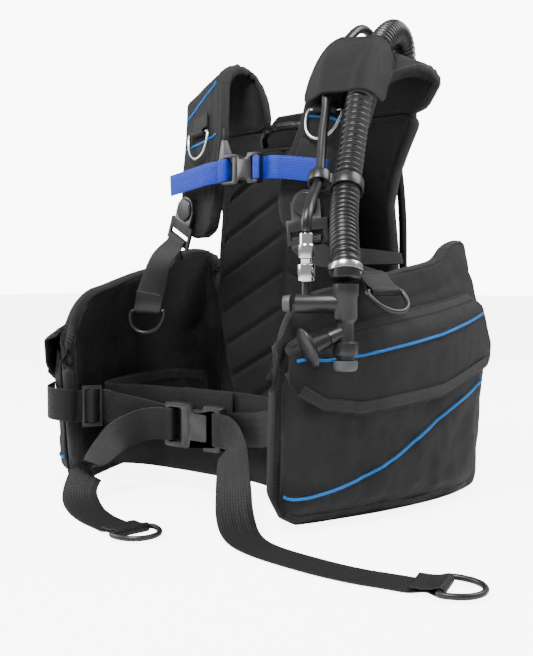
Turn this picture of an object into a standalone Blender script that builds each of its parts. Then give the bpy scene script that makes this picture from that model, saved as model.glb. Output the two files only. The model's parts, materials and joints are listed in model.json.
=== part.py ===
"""Buoyancy compensator vest: a diver's jacket on a rigid backplate, standing on its two side lobes.

Metres, +Z up. The wearer faces -Y, so +X is the wearer's left. Lengths below are in the vest's own frame,
whose x = 0 is the wearer's midline. The empty "vest" carries everything, and stands its box on the origin.
"""

import math

import bmesh
import bpy
import numpy as np
from mathutils import Matrix, Vector

# Where the midline stands in the world, so that the vest's box, less its hoses, is centred on the origin.
VEST_PLACE = (-0.0714, 0.1374, 0.0005)

# Webbing and cloth
WEB = 0.0015
WAIST_WEB_WIDTH = 0.040
STERNUM_WEB_WIDTH = 0.028
SHOULDER_WEB_WIDTH = 0.038
GAP = 0.0004

# Back assembly, front to back
PAD_Y, PAD_THICK = -0.0440, 0.0150
PLATE_Y, PLATE_THICK = -0.0275, 0.0130
JACKET_Y, JACKET_THICK = -0.0055, 0.0260
JACKET_BOTTOM, JACKET_TOP = 0.030, 0.469
COLLAR_TOP, COLLAR_HALF_WIDTH = 0.490, 0.0545

# Side lobes: the plan of the middle surface, front edge to rear end, and how far it leans in at each height
LOBE_PLAN = (
    (0.163, -0.290),
    (0.183, -0.257),
    (0.200, -0.218),
    (0.226, -0.148),
    (0.246, -0.060),
    (0.246, 0.015),
    (0.234, 0.050),
    (0.206, 0.064),
    (0.176, 0.054),
    (0.163, 0.028),
)
LOBE_LEAN = ((0.0, 0.012), (0.185, 0.0), (0.260, 0.018), (0.330, 0.032))
LOBE_TOP = (
    (0.0, 0.150),
    (0.03, 0.185),
    (0.08, 0.210),
    (0.18, 0.236),
    (0.30, 0.252),
    (0.60, 0.284),
    (0.74, 0.308),
    (1.0, 0.268),
)
LOBE_BOTTOM = ((0.0, 0.034), (0.03, 0.010), (0.07, 0.0008), (1.0, 0.0008))
LOBE_THICK = 0.018

# Pocket bags on the lobes, and their flaps
POCKET_SPAN = (0.02, 0.66)
POCKET_BOTTOM, POCKET_UNDER_FLAP = 0.006, 0.030
POCKET_SEAM_OUT, POCKET_OUT, POCKET_MOUTH_OUT = 0.0125, 0.0250, 0.0200
POCKET_CLOTH = 0.003
FLAP_TOP = ((0.0, 0.185), (0.06, 0.203), (0.2, 0.216), (0.66, 0.246))
FLAP_BOTTOM = ((0.0, 0.160), (0.10, 0.126), (0.20, 0.117), (0.45, 0.128), (0.66, 0.160))
FLAP_HINGE_OUT, FLAP_HANG_OUT, FLAP_CLOTH = 0.0125, 0.0295, 0.003

# Cummerbund: plan of one half, from the midline to the side of the backplate
CUMMERBUND_PLAN = (
    (-0.045, -0.2035),
    (0.0, -0.2035),
    (0.050, -0.2045),
    (0.100, -0.2140),
    (0.138, -0.2310),
    (0.163, -0.2230),
    (0.181, -0.1950),
    (0.202, -0.1400),
    (0.217, -0.0700),
    (0.210, -0.0370),
    (0.185, -0.0285),
    (0.160, -0.0275),
)
CUMMERBUND_THICK = 0.004
CUMMERBUND_LOW, CUMMERBUND_HIGH = 0.024, 0.127

# Shoulder yokes: x, y, z of the middle, then width, turn outwards and slope of the outer side down, in degrees
LEFT_YOKE = (
    (0.1210, -0.0050, 0.4695, 0.128, 0, 0),
    (0.1320, -0.0040, 0.5050, 0.140, 0, 8),
    (0.1400, -0.0090, 0.5330, 0.142, 2, 22),
    (0.1400, -0.0350, 0.5400, 0.126, 8, 24),
    (0.1300, -0.0680, 0.5220, 0.100, 13, 20),
    (0.1240, -0.0930, 0.4920, 0.090, 13, 8),
    (0.1190, -0.1090, 0.4450, 0.088, 13, 2),
    (0.1020, -0.1190, 0.3950, 0.086, 13, 0),
    (0.0930, -0.1230, 0.3580, 0.080, 13, 0),
    (0.0900, -0.1240, 0.3300, 0.064, 13, 0),
    (0.0890, -0.1240, 0.3170, 0.036, 13, 0),
)
RIGHT_YOKE = (
    (0.1210, -0.0050, 0.4695, 0.128, 0, 0),
    (0.1300, -0.0040, 0.5030, 0.134, 0, 8),
    (0.1400, -0.0060, 0.5290, 0.124, 2, 22),
    (0.1390, -0.0320, 0.5350, 0.112, 8, 24),
    (0.1210, -0.0660, 0.5210, 0.098, 13, 20),
    (0.1000, -0.0910, 0.4900, 0.088, 13, 8),
    (0.0860, -0.1090, 0.4450, 0.086, 13, 2),
    (0.0835, -0.1190, 0.3950, 0.084, 13, 0),
    (0.0825, -0.1230, 0.3580, 0.078, 13, 0),
    (0.0820, -0.1240, 0.3300, 0.062, 13, 0),
    (0.0815, -0.1240, 0.3170, 0.036, 13, 0),
)
YOKE_THICK = 0.018
STRAP_TURN = math.radians(13)

# Rings
RING_WIRE = 0.0022
RING_WIDTH, RING_DROP = 0.050, 0.034
TAIL_ON_FLOOR = WEB / 2
RING_ON_FLOOR = WEB * 1.5 + RING_WIRE

# Buckles
WAIST_BUCKLE_AT = (-0.003, -0.2245, 0.084)
WAIST_BUCKLE_SIZE = (0.090, 0.054, 0.013)
STERNUM_BUCKLE_AT = (0.011, -0.1520, 0.398)
STERNUM_BUCKLE_SIZE = (0.058, 0.037, 0.010)

# Swivels on the shoulder pads: tilt is how far the frame hangs outwards
SWIVELS = {"left": ((0.099, -0.1395, 0.351), 4), "right": ((-0.099, -0.1375, 0.354), 25)}

SWIVEL_PROFILE = (
    (0, 0.0042),
    (0.0135, 0.0042),
    (0.0150, 0.0028),
    (0.0150, 0.0012),
    (0.0105, 0.0012),
    (0.0105, -0.0030),
    (0.0140, -0.0030),
    (0.0140, -0.0052),
    (0, -0.0052),
)

# Hoses
CORRUGATED_RADIUS = 0.0155
LP_RADIUS = 0.0055
CORRUGATED_ROUTE = (
    (0.1260, 0.0500, 0.5120),
    (0.1265, 0.0505, 0.5330),
    (0.1300, 0.0420, 0.5560),
    (0.1370, 0.0200, 0.5720),
    (0.1450, -0.0120, 0.5735),
    (0.1530, -0.0450, 0.5595),
    (0.1600, -0.0765, 0.5370),
    (0.1640, -0.1030, 0.5100),
    (0.1660, -0.1240, 0.4770),
    (0.1700, -0.1420, 0.4350),
    (0.1750, -0.1590, 0.3960),
    (0.1840, -0.1810, 0.3600),
    (0.1980, -0.2070, 0.3260),
    (0.2200, -0.2400, 0.2960),
    (0.2330, -0.2580, 0.2760),
    (0.2356, -0.2615, 0.2608),
)
LP_ROUTE = (
    (0.1999, -0.2793, 0.3090),
    (0.1999, -0.2793, 0.3180),
    (0.1970, -0.2720, 0.3300),
    (0.1860, -0.2500, 0.3450),
    (0.1720, -0.2230, 0.3570),
    (0.1600, -0.1980, 0.3720),
    (0.1490, -0.1790, 0.3980),
    (0.1390, -0.1610, 0.4280),
    (0.1310, -0.1430, 0.4600),
    (0.1220, -0.1290, 0.4920),
    (0.1180, -0.1110, 0.5220),
    (0.1130, -0.0790, 0.5490),
    (0.1090, -0.0350, 0.5780),
    (0.1050, 0.0000, 0.5770),
    (0.1000, 0.0300, 0.5560),
    (0.0980, 0.0460, 0.5250),
    (0.1020, 0.0560, 0.4800),
    (0.1100, 0.0620, 0.4200),
    (0.1160, 0.0650, 0.3500),
    (0.1180, 0.0650, 0.2620),
)

HOSE_POINTS, CLIP_SPOT = 27, 19
FITTING_PROFILE = (
    (0, 0),
    (0.0068, 0),
    (0.0068, -0.014),
    (0.0078, -0.014),
    (0.0078, -0.022),
    (0.0050, -0.022),
    (0.0050, -0.031),
    (0, -0.031),
)
ELBOW_GAP = 0.0018

# Inflator
INFLATOR_AT = (0.2360, -0.2620)
INFLATOR_ARM = (-0.90, -0.43)
MOUTH_ARM = (-0.52, -0.86)
ARM_HEIGHT, ARM_LENGTH, PORT_REACH = 0.236, 0.050, 0.040
INFLATOR_PROFILE = (
    (0, 0.2560),
    (0.0130, 0.2560),
    (0.0130, 0.2430),
    (0.0120, 0.2430),
    (0.0120, 0.2210),
    (0.0085, 0.2170),
    (0.0085, 0.1990),
    (0.0130, 0.1970),
    (0.0130, 0.1850),
    (0, 0.1850),
)
DEFLATE_PROFILE = ((0, 0.1795), (0.0125, 0.1795), (0.0125, 0.1720), (0.0105, 0.1690), (0, 0.1690))
MOUTH_PROFILE = (
    (0, 0.0270),
    (0.0120, 0.0270),
    (0.0215, 0.0250),
    (0.0215, 0.0220),
    (0.0100, 0.0180),
    (0.0085, 0),
    (0, 0),
)
DISCONNECT_PROFILE = (
    (0, 0.3068),
    (0.0072, 0.3068),
    (0.0072, 0.2960),
    (0.0084, 0.2945),
    (0.0084, 0.2820),
    (0.0060, 0.2810),
    (0.0060, 0.2582),
    (0, 0.2582),
)

# Tank side
TANK_BAND_HEIGHT, TANK_BAND_Z = 0.050, 0.250
TANK_BAND_THICK = 0.0025
TANK_BAND_HALF = (
    (0.0, 0.1195),
    (0.0500, 0.1120),
    (0.0800, 0.0880),
    (0.0880, 0.0520),
    (0.0780, 0.0240),
    (0.0705, 0.0020),
    (0.0690, -0.0200),
    (0.0600, -0.0305),
    (0.0480, -0.0315),
    (0.0, -0.0315),
)
TANK_BAND_LAP = ((-0.050, 0.1165), (-0.020, 0.1235), (0.010, 0.1245), (0.034, 0.1245))
VALVE_PROFILE = (
    (0, 0.0180),
    (0.0160, 0.0180),
    (0.0230, 0.0130),
    (0.0250, 0.0040),
    (0.0290, 0.0030),
    (0.0290, 0),
    (0, 0),
)

FINISHES = {
    "nylon": ((0.030, 0.030, 0.032, 1), 0.85, 0.0),
    "lining": ((0.018, 0.018, 0.020, 1), 0.70, 0.0),
    "webbing": ((0.016, 0.016, 0.017, 1), 0.75, 0.0),
    "blue webbing": ((0.016, 0.080, 0.620, 1), 0.70, 0.0),
    "moulded plastic": ((0.035, 0.037, 0.040, 1), 0.45, 0.0),
    "grey plastic": ((0.110, 0.112, 0.118, 1), 0.50, 0.0),
    "rubber": ((0.020, 0.020, 0.021, 1), 0.45, 0.0),
    "chrome": ((0.750, 0.750, 0.760, 1), 0.15, 1.0),
    "steel": ((0.620, 0.610, 0.600, 1), 0.25, 1.0),
}


# ---------------------------------------------------------------- scene and helpers


def clear_scene():
    for thing in list(bpy.data.objects):
        bpy.data.objects.remove(thing)


def new_collection(name):
    collection = bpy.data.collections.new(name)
    bpy.context.scene.collection.children.link(collection)
    return collection


clear_scene()
PARTS = new_collection("buoyancy_vest")
CUTTERS = new_collection("cutters")
CUTTERS.hide_render = True
VEST = bpy.data.objects.new("vest", None)
VEST.location = VEST_PLACE
PARTS.objects.link(VEST)


def pivot(name, at):
    """An empty on a joint's axis, which carries the pieces that move there."""
    empty = bpy.data.objects.new(name, None)
    empty.location = at
    empty.parent = VEST
    PARTS.objects.link(empty)
    return empty


def place(thing, matrix, carrier=VEST):
    """Puts a piece at its place in the vest's frame, carried by the vest or by a joint's empty."""
    thing.parent = carrier
    offset = Vector((0, 0, 0)) if carrier is VEST else carrier.location
    thing.matrix_local = Matrix.Translation(-offset) @ matrix
    return thing


def add_part(name, data, finish, matrix=None, carrier=VEST):
    colour, roughness, metallic = FINISHES[finish]
    material = bpy.data.materials.new(name)
    material.use_nodes = True
    shader = material.node_tree.nodes["Principled BSDF"]
    shader.inputs["Base Color"].default_value = colour
    shader.inputs["Roughness"].default_value = roughness
    shader.inputs["Metallic"].default_value = metallic
    data.materials.append(material)
    thing = bpy.data.objects.new(name, data)
    PARTS.objects.link(thing)
    return place(thing, matrix or Matrix.Identity(4), carrier)


def add_cutter(name, data, matrix=None):
    """A hidden helper, for a Boolean."""
    thing = bpy.data.objects.new(name, data)
    thing.hide_render = True
    thing.display_type = "WIRE"
    CUTTERS.objects.link(thing)
    return place(thing, matrix or Matrix.Identity(4))


def combine(thing, helpers, operation):
    for helper in helpers:
        modifier = thing.modifiers.new(operation.lower(), "BOOLEAN")
        modifier.operation = operation
        modifier.object = helper
        modifier.solver = "EXACT"
    return thing


def bevel(thing, width, segments=2):
    modifier = thing.modifiers.new("edges", "BEVEL")
    modifier.width = width
    modifier.segments = segments
    modifier.limit_method = "ANGLE"
    return thing


def box_mesh(name, low, high):
    mesh = bpy.data.meshes.new(name)
    cage = bmesh.new()
    bmesh.ops.create_cube(cage, size=1)
    low, high = Vector(low), Vector(high)
    for vertex in cage.verts:
        vertex.co = (low + high) / 2 + Vector(a * b for a, b in zip(vertex.co, high - low))
    cage.to_mesh(mesh)
    cage.free()
    return mesh


def round_mesh(name, radius, depth, segments=20, top_radius=None):
    """A cylinder or cone about Z, standing from z = 0."""
    mesh = bpy.data.meshes.new(name)
    cage = bmesh.new()
    bmesh.ops.create_cone(
        cage,
        cap_ends=True,
        segments=segments,
        radius1=radius,
        radius2=radius if top_radius is None else top_radius,
        depth=depth,
        matrix=Matrix.Translation((0, 0, depth / 2)),
    )
    cage.to_mesh(mesh)
    cage.free()
    return mesh


def turned(name, profile, finish, matrix, carrier=VEST, steps=20):
    """A turned piece about its own Z, from (radius, height) points that run down its outer side."""
    mesh = bpy.data.meshes.new(name)
    corners = [(radius, 0, height) for radius, height in profile]
    mesh.from_pydata(corners, [(i, i + 1) for i in range(len(corners) - 1)], [])
    thing = add_part(name, mesh, finish, matrix, carrier)
    screw = thing.modifiers.new("turn", "SCREW")
    screw.steps = steps
    screw.render_steps = steps
    screw.use_merge_vertices = True
    screw.merge_threshold = 0.0001
    return thing


def unit(vector):
    vector = np.array(vector, float)
    return vector / np.linalg.norm(vector)


def smooth(points, count):
    """Evenly spaced points on a smooth curve through a route's points; extra columns are carried along."""
    route = np.array(points, float)
    padded = np.vstack([2 * route[0] - route[1], route, 2 * route[-1] - route[-2]])
    fine = []
    for i in range(1, len(padded) - 2):
        a, b, c, d = padded[i - 1 : i + 3]
        for t in np.linspace(0, 1, 20, endpoint=False):
            bend = (2 * a - 5 * b + 4 * c - d) * t**2 + (3 * b - a - 3 * c + d) * t**3
            fine.append(0.5 * (2 * b + (c - a) * t + bend))
    fine = np.array(fine + [route[-1]])
    place_columns = 2 if route.shape[1] == 2 else 3
    steps = np.linalg.norm(np.diff(fine[:, :place_columns], axis=0), axis=1)
    along = np.r_[0, np.cumsum(steps)]
    even = np.linspace(0, along[-1], count)
    return np.column_stack([np.interp(even, along, column) for column in fine.T])


def facing(at, forward, up=(0, 0, 1)):
    """A matrix at a place whose local Z points forward, and whose local X is level."""
    z = Vector(forward).normalized()
    x = Vector(up).cross(z).normalized()
    y = z.cross(x)
    return Matrix.Translation(at) @ Matrix((x, y, z)).transposed().to_4x4()


def sheet(name, finish, point, columns, rows, thickness, carrier=VEST):
    """A cloth or foam panel: a grid laid on the surface point(u, v), given its thickness."""
    mesh = bpy.data.meshes.new(name)
    cage = bmesh.new()
    bmesh.ops.create_grid(cage, x_segments=columns, y_segments=rows, size=0.5)
    for vertex in cage.verts:
        vertex.co = point(vertex.co.x + 0.5, vertex.co.y + 0.5)
    cage.to_mesh(mesh)
    cage.free()
    thing = add_part(name, mesh, finish, carrier=carrier)
    solidify = thing.modifiers.new("thickness", "SOLIDIFY")
    solidify.thickness = thickness
    solidify.offset = 0
    solidify.use_even_offset = True
    return thing


def strap(name, finish, points, across, width, carrier=VEST, thickness=WEB):
    """Webbing along points, with the direction across it given once or for each point."""
    points = np.array(points, float)
    across = np.array(across, float)
    if across.ndim == 1:
        across = np.tile(across, (len(points), 1))
    columns = len(points) - 1

    def point(u, v):
        i = round(u * columns)
        return Vector(points[i] + unit(across[i]) * width * (v - 0.5))

    return sheet(name, finish, point, columns, 1, thickness, carrier)


def tube(name, points, radius, finish, carrier=VEST, resolution=2, cyclic=False):
    curve = bpy.data.curves.new(name, "CURVE")
    curve.dimensions = "3D"
    curve.bevel_depth = radius
    curve.bevel_resolution = resolution
    curve.use_fill_caps = True
    spline = curve.splines.new("POLY")
    spline.points.add(len(points) - 1)
    for spot, at in zip(spline.points, points):
        spot.co = (*at, 1)
    spline.use_cyclic_u = cyclic
    return add_part(name, curve, finish, carrier=carrier)


def ring(name, bar, along, drop, finish, carrier, width=RING_WIDTH, depth=RING_DROP, wire=RING_WIRE):
    """A D-ring: a straight bar, and a bow that reaches away from it."""
    along, drop, bar = unit(along), unit(drop), np.array(bar, float)
    points = [bar + along * width * share for share in (-0.5, -0.25, 0.25, 0.5)]
    for angle in np.linspace(0, math.pi, 11)[1:-1]:
        points.append(bar + along * width / 2 * math.cos(angle) + drop * depth * math.sin(angle) ** 0.8)
    return tube(name, points, wire, finish, carrier, resolution=1, cyclic=True)


def ring_loop(bar, away, up, lap=0.026):
    """The end of a strap that reaches a ring's bar, turns round it and is sewn back on itself."""
    bar, away, up = np.array(bar, float), unit(away), unit(up)
    turn = RING_WIRE + GAP + WEB
    close = WEB / 2 + GAP
    flat = [(0.012, -close), (0.0055, -0.6 * turn)]
    arc = [(turn * math.cos(a), turn * math.sin(a)) for a in np.radians([-90, -135, -180, -225, -270])]
    back = [(0.0055, 0.6 * turn), (0.012, close), (lap, close)]
    return np.array([bar + away * a + up * b for a, b in flat + arc + back])


# ---------------------------------------------------------------- lobes, pockets and cummerbund

LOBE_LINE = smooth(LOBE_PLAN, 161)


def on_lobe(side, t, z, out):
    """A point by a lobe: t runs from its front edge, 0, to its rear end, 1, and out is from its middle."""
    spot = t * (len(LOBE_LINE) - 1)
    i = min(int(spot), len(LOBE_LINE) - 2)
    tangent = LOBE_LINE[i + 1] - LOBE_LINE[i]
    x, y = LOBE_LINE[i] + tangent * (spot - i)
    outward = unit((tangent[1], -tangent[0]))
    reach = out - np.interp(z, *zip(*LOBE_LEAN))
    return Vector((side * (x + outward[0] * reach), y + outward[1] * reach, z))


def profile(table, t):
    return float(np.interp(t, *zip(*table)))


def lobe(name, side):
    def point(u, v):
        low, high = profile(LOBE_BOTTOM, u), profile(LOBE_TOP, u)
        return on_lobe(side, u, low + (high - low) * v, 0)

    return sheet(f"{name}_lobe", "nylon", point, 24, 5, LOBE_THICK)


def pocket(name, side):
    """A bellows bag: its front, rear and bottom edges meet the lobe, and its mouth is open at the top."""
    columns, rows = 16, 5
    start, end = POCKET_SPAN

    def point(u, v):
        seam = u < 0.5 / columns or u > 1 - 0.5 / columns or v < 0.5 / rows
        out = POCKET_SEAM_OUT if seam else POCKET_OUT
        if v > 1 - 0.5 / rows and not seam:
            out = POCKET_MOUTH_OUT
        t = start + (end - start) * u
        low = max(POCKET_BOTTOM, profile(LOBE_BOTTOM, t))
        top = profile(FLAP_TOP, t) - POCKET_UNDER_FLAP
        return on_lobe(side, t, low + (top - low) * v, out)

    return sheet(f"{name}_pocket", "nylon", point, columns, rows, POCKET_CLOTH)


def pocket_flap(name, side, carrier):
    """It is sewn to the lobe above the pocket's mouth, and hangs over it."""
    columns, rows = 14, 4
    start, end = POCKET_SPAN

    def point(u, v):
        t = start + (end - start) * u
        top, low = profile(FLAP_TOP, t), profile(FLAP_BOTTOM, t)
        out = FLAP_HINGE_OUT if v > 1 - 0.5 / rows else FLAP_HANG_OUT
        return on_lobe(side, t, low + (top - low) * v, out)

    return sheet(f"{name}_pocket_flap", "nylon", point, columns, rows, FLAP_CLOTH, carrier)


def cummerbund(name, side, step):
    """One half: from the side of the backplate, inside the lobe, to where it laps the other half in front."""
    plan = smooth(CUMMERBUND_PLAN, 23)

    def point(u, v):
        x, y = plan[round(u * 22)]
        z = CUMMERBUND_LOW + (CUMMERBUND_HIGH - CUMMERBUND_LOW) * v
        return Vector((side * x, y + step * max(0.0, 1 - max(0.0, x - 0.05) / 0.07), z))

    return sheet(f"{name}_cummerbund", "nylon", point, 22, 1, CUMMERBUND_THICK)


# ---------------------------------------------------------------- back assembly


def width_panel(name, finish, widths, y, thickness, rows):
    """An upright panel whose half width is given at several heights."""
    heights = [z for z, _ in widths]

    def point(u, v):
        z = heights[0] + (heights[-1] - heights[0]) * v
        return Vector(((2 * u - 1) * profile(widths, z), y, z))

    return sheet(name, finish, point, 4, rows, thickness)


def back_assembly():
    width_panel(
        "back_pad",
        "lining",
        ((0.060, 0.070), (0.120, 0.096), (0.232, 0.120), (0.375, 0.097), (0.420, 0.070), (0.438, 0.050)),
        PAD_Y,
        PAD_THICK,
        9,
    )
    plate = width_panel(
        "backplate",
        "moulded plastic",
        ((0.100, 0.080), (0.200, 0.105), (0.350, 0.100), (0.420, 0.070), (0.440, 0.056)),
        PLATE_Y,
        PLATE_THICK,
        6,
    )
    jacket = width_panel(
        "jacket_back",
        "nylon",
        (
            (JACKET_BOTTOM, 0.120),
            (0.060, 0.138),
            (0.140, 0.150),
            (0.300, 0.148),
            (0.357, 0.142),
            (0.395, 0.150),
            (0.430, 0.165),
            (JACKET_TOP, 0.184),
        ),
        JACKET_Y,
        JACKET_THICK,
        10,
    )
    half = JACKET_THICK / 2 - 0.001
    collar = add_cutter(
        "collar",
        box_mesh(
            "collar",
            (-COLLAR_HALF_WIDTH, JACKET_Y - half, JACKET_TOP - 0.01),
            (COLLAR_HALF_WIDTH, JACKET_Y + half, COLLAR_TOP),
        ),
    )
    combine(jacket, [collar], "UNION")
    slots = []
    for side in (-1, 1):
        middle = side * 0.066
        mesh = box_mesh(
            "band_slot",
            (middle - 0.010, -0.06, TANK_BAND_Z - 0.028),
            (middle + 0.010, 0.03, TANK_BAND_Z + 0.028),
        )
        slots.append(add_cutter(f"band_slot_{side}", mesh))
    channel = box_mesh(
        "band_channel",
        (-0.070, PLATE_Y - 0.010, TANK_BAND_Z - 0.028),
        (0.070, PLATE_Y - PLATE_THICK / 2 + 0.005, TANK_BAND_Z + 0.028),
    )
    combine(plate, [*slots, add_cutter("band_channel", channel)], "DIFFERENCE")
    combine(jacket, slots, "DIFFERENCE")


def carry_handle():
    """A moulded grip that bridges the top of the backplate."""
    route = (
        (-0.048, -0.030, 0.4455),
        (-0.044, -0.038, 0.4560),
        (-0.028, -0.046, 0.4640),
        (0.0, -0.049, 0.4660),
        (0.028, -0.046, 0.4640),
        (0.044, -0.038, 0.4560),
        (0.048, -0.030, 0.4455),
    )
    tube("carry_handle", smooth(route, 15), 0.0055, "rubber")


# ---------------------------------------------------------------- shoulders


def yoke_frames(side):
    """Middle, across, and front-facing directions, and the width, at even steps along a yoke."""
    stations = LEFT_YOKE if side > 0 else RIGHT_YOKE
    rows = smooth(stations, 31)
    frames = []
    for i, (x, y, z, width, turn, slope) in enumerate(rows):
        before, after = rows[max(i - 1, 0)][:3], rows[min(i + 1, len(rows) - 1)][:3]
        turn, slope = math.radians(turn), math.radians(slope)
        across = unit((math.cos(turn) * math.cos(slope), math.sin(turn) * math.cos(slope), -math.sin(slope)))
        outward = unit(np.cross(after - before, across))
        frames.append((np.array((x, y, z)), across, outward, width))
    return frames


def on_yoke(side, s, a, n):
    """A point by a yoke: s from its back edge, 0, to its front end, 1; a across it; n out from its middle."""
    frames = yoke_frames(side)
    spot = s * (len(frames) - 1)
    i = min(int(spot), len(frames) - 2)
    middle = frames[i][0] + (frames[i + 1][0] - frames[i][0]) * (spot - i)
    x, y, z = middle + frames[i][1] * a + frames[i][2] * n
    return Vector((side * x, y, z))


def yoke(name, side):
    frames = yoke_frames(side)
    last = len(frames) - 1

    def point(u, v):
        middle, across, _, width = frames[round(u * last)]
        x, y, z = middle + across * width * (v - 0.5)
        return Vector((side * x, y, z))

    return sheet(f"{name}_shoulder_yoke", "nylon", point, last, 2, YOKE_THICK)


def shoulder_ring(name, side, s, a):
    """A steel D-ring on the front of the pad, in a keeper of webbing."""
    off = YOKE_THICK / 2 + GAP + WEB / 2
    bar = np.array(on_yoke(side, s, a, off + RING_WIRE + GAP + WEB))
    below = np.array(on_yoke(side, s + 0.05, a, off + RING_WIRE + GAP + WEB))
    across = np.array(on_yoke(side, s, a + 0.01, off)) - np.array(on_yoke(side, s, a, off))
    down = unit(below - bar)
    forward = unit(np.cross(down, across)) * side
    carrier = pivot(f"{name}_shoulder_ring_pivot", bar)
    ring(f"{name}_shoulder_d_ring", bar, across, down, "steel", carrier, 0.044, 0.037, 0.0020)
    turn = 0.0020 + GAP + WEB
    lay = turn - 0.0002
    points = [bar - down * 0.026 - forward * lay, bar - down * 0.008 - forward * lay]
    for angle in np.radians([-60, -20, 20, 60]):
        points.append(bar + down * turn * math.cos(angle) + forward * turn * math.sin(angle))
    points += [
        bar - down * 0.002 + forward * (turn - 0.0002),
        bar - down * 0.009 - forward * (lay - WEB - GAP),
        bar - down * 0.026 - forward * (lay - WEB - GAP),
    ]
    strap(f"{name}_ring_keeper", "webbing", points, across, 0.030)


def swivel_matrix(name):
    side = 1 if name == "left" else -1
    at, tilt = SWIVELS[name]
    turn = Matrix.Rotation(side * STRAP_TURN, 4, "Z")
    return Matrix.Translation(at) @ turn @ Matrix.Rotation(-side * math.radians(tilt), 4, "Y")


def swivel(name):
    """A disc on the pad, and the frame that swings on it and holds the shoulder webbing."""
    matrix = swivel_matrix(name)
    upright = matrix @ Matrix.Rotation(math.radians(90), 4, "X")
    turned(
        f"{name}_swivel_base",
        SWIVEL_PROFILE,
        "moulded plastic",
        upright,
    )
    carrier = pivot(f"{name}_swivel_pivot", SWIVELS[name][0])
    plate = add_part(
        f"{name}_swivel_frame",
        box_mesh("frame", (-0.026, -0.0008, -0.048), (0.026, 0.0026, -0.018)),
        "moulded plastic",
        matrix,
        carrier,
    )
    neck = box_mesh("neck", (-0.019, -0.0007, -0.022), (0.019, 0.0025, 0.004))
    neck = add_cutter(f"{name}_neck", neck, matrix)
    eye = add_cutter(
        f"{name}_eye", round_mesh("eye", 0.0175, 0.0032, 24), upright @ Matrix.Translation((0, 0, -0.0025))
    )
    hole = add_cutter(
        f"{name}_hole", round_mesh("hole", 0.0110, 0.02, 24), upright @ Matrix.Translation((0, 0, -0.01))
    )
    slot = box_mesh("slot", (-0.0210, -0.01, -0.0425), (0.0210, 0.01, -0.0315))
    slot = add_cutter(f"{name}_slot", slot, matrix)
    combine(plate, [neck, eye], "UNION")
    combine(plate, [hole, slot], "DIFFERENCE")
    return carrier


def frame_turn(matrix):
    """Webbing round the frame's lower bar: up behind it, through the slot and down in front."""
    spots = (
        (0.0052, -0.0500), (0.0048, -0.0440), (0.0032, -0.0395), (0.0008, -0.0380), (-0.0016, -0.0395),
        (-0.0034, -0.0440), (-0.0040, -0.0500),
    )
    return np.array([matrix @ Vector((0, y, z)) for y, z in spots])


def shoulder_webbing(name, side, route, tail_route, last_across, tail_carrier):
    """The webbing from the lobe up to the frame, and the pull tail that comes back down with its ring."""
    matrix = swivel_matrix(name)
    turn = frame_turn(matrix)
    across = np.array(matrix.to_3x3() @ Vector((1, 0, 0)))
    start = turn[0] + unit(turn[0] - turn[1]) * 0.003
    loaded = smooth([start, *route], 12)
    lobe_across = np.array((0.25 * side, 0.95, 0.2))
    shares = np.linspace(0, 1, len(loaded))
    acrosses = [unit(across * (1 - share) + lobe_across * side * share) for share in shares]
    strap(f"{name}_shoulder_webbing", "webbing", loaded, acrosses, SHOULDER_WEB_WIDTH)

    hanging = smooth([turn[-1], *tail_route[:-1]], 14)
    ring_bar = np.array(tail_route[-1])
    up = unit(np.cross(last_across, ring_bar - hanging[-1]))
    if up[1] > 0:
        up = -up
    loop = ring_loop(ring_bar, hanging[-1] - ring_bar, up)
    shares = np.linspace(0, 1, len(hanging))
    last = np.array(last_across, float)
    middles = [unit(across * (1 - share) + last * share) for share in shares]
    points = np.vstack([turn, hanging[1:], loop])
    acrosses = [across] * len(turn) + middles[1:] + [last] * len(loop)
    strap(f"{name}_pull_tail", "webbing", points, acrosses, SHOULDER_WEB_WIDTH, tail_carrier)
    carrier = pivot(f"{name}_pull_ring_pivot", ring_bar)
    drop = unit(ring_bar - hanging[-1])
    ring(f"{name}_pull_ring", ring_bar, last_across, drop, "moulded plastic", carrier, 0.048, 0.030)


# ---------------------------------------------------------------- buckles and straps


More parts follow.
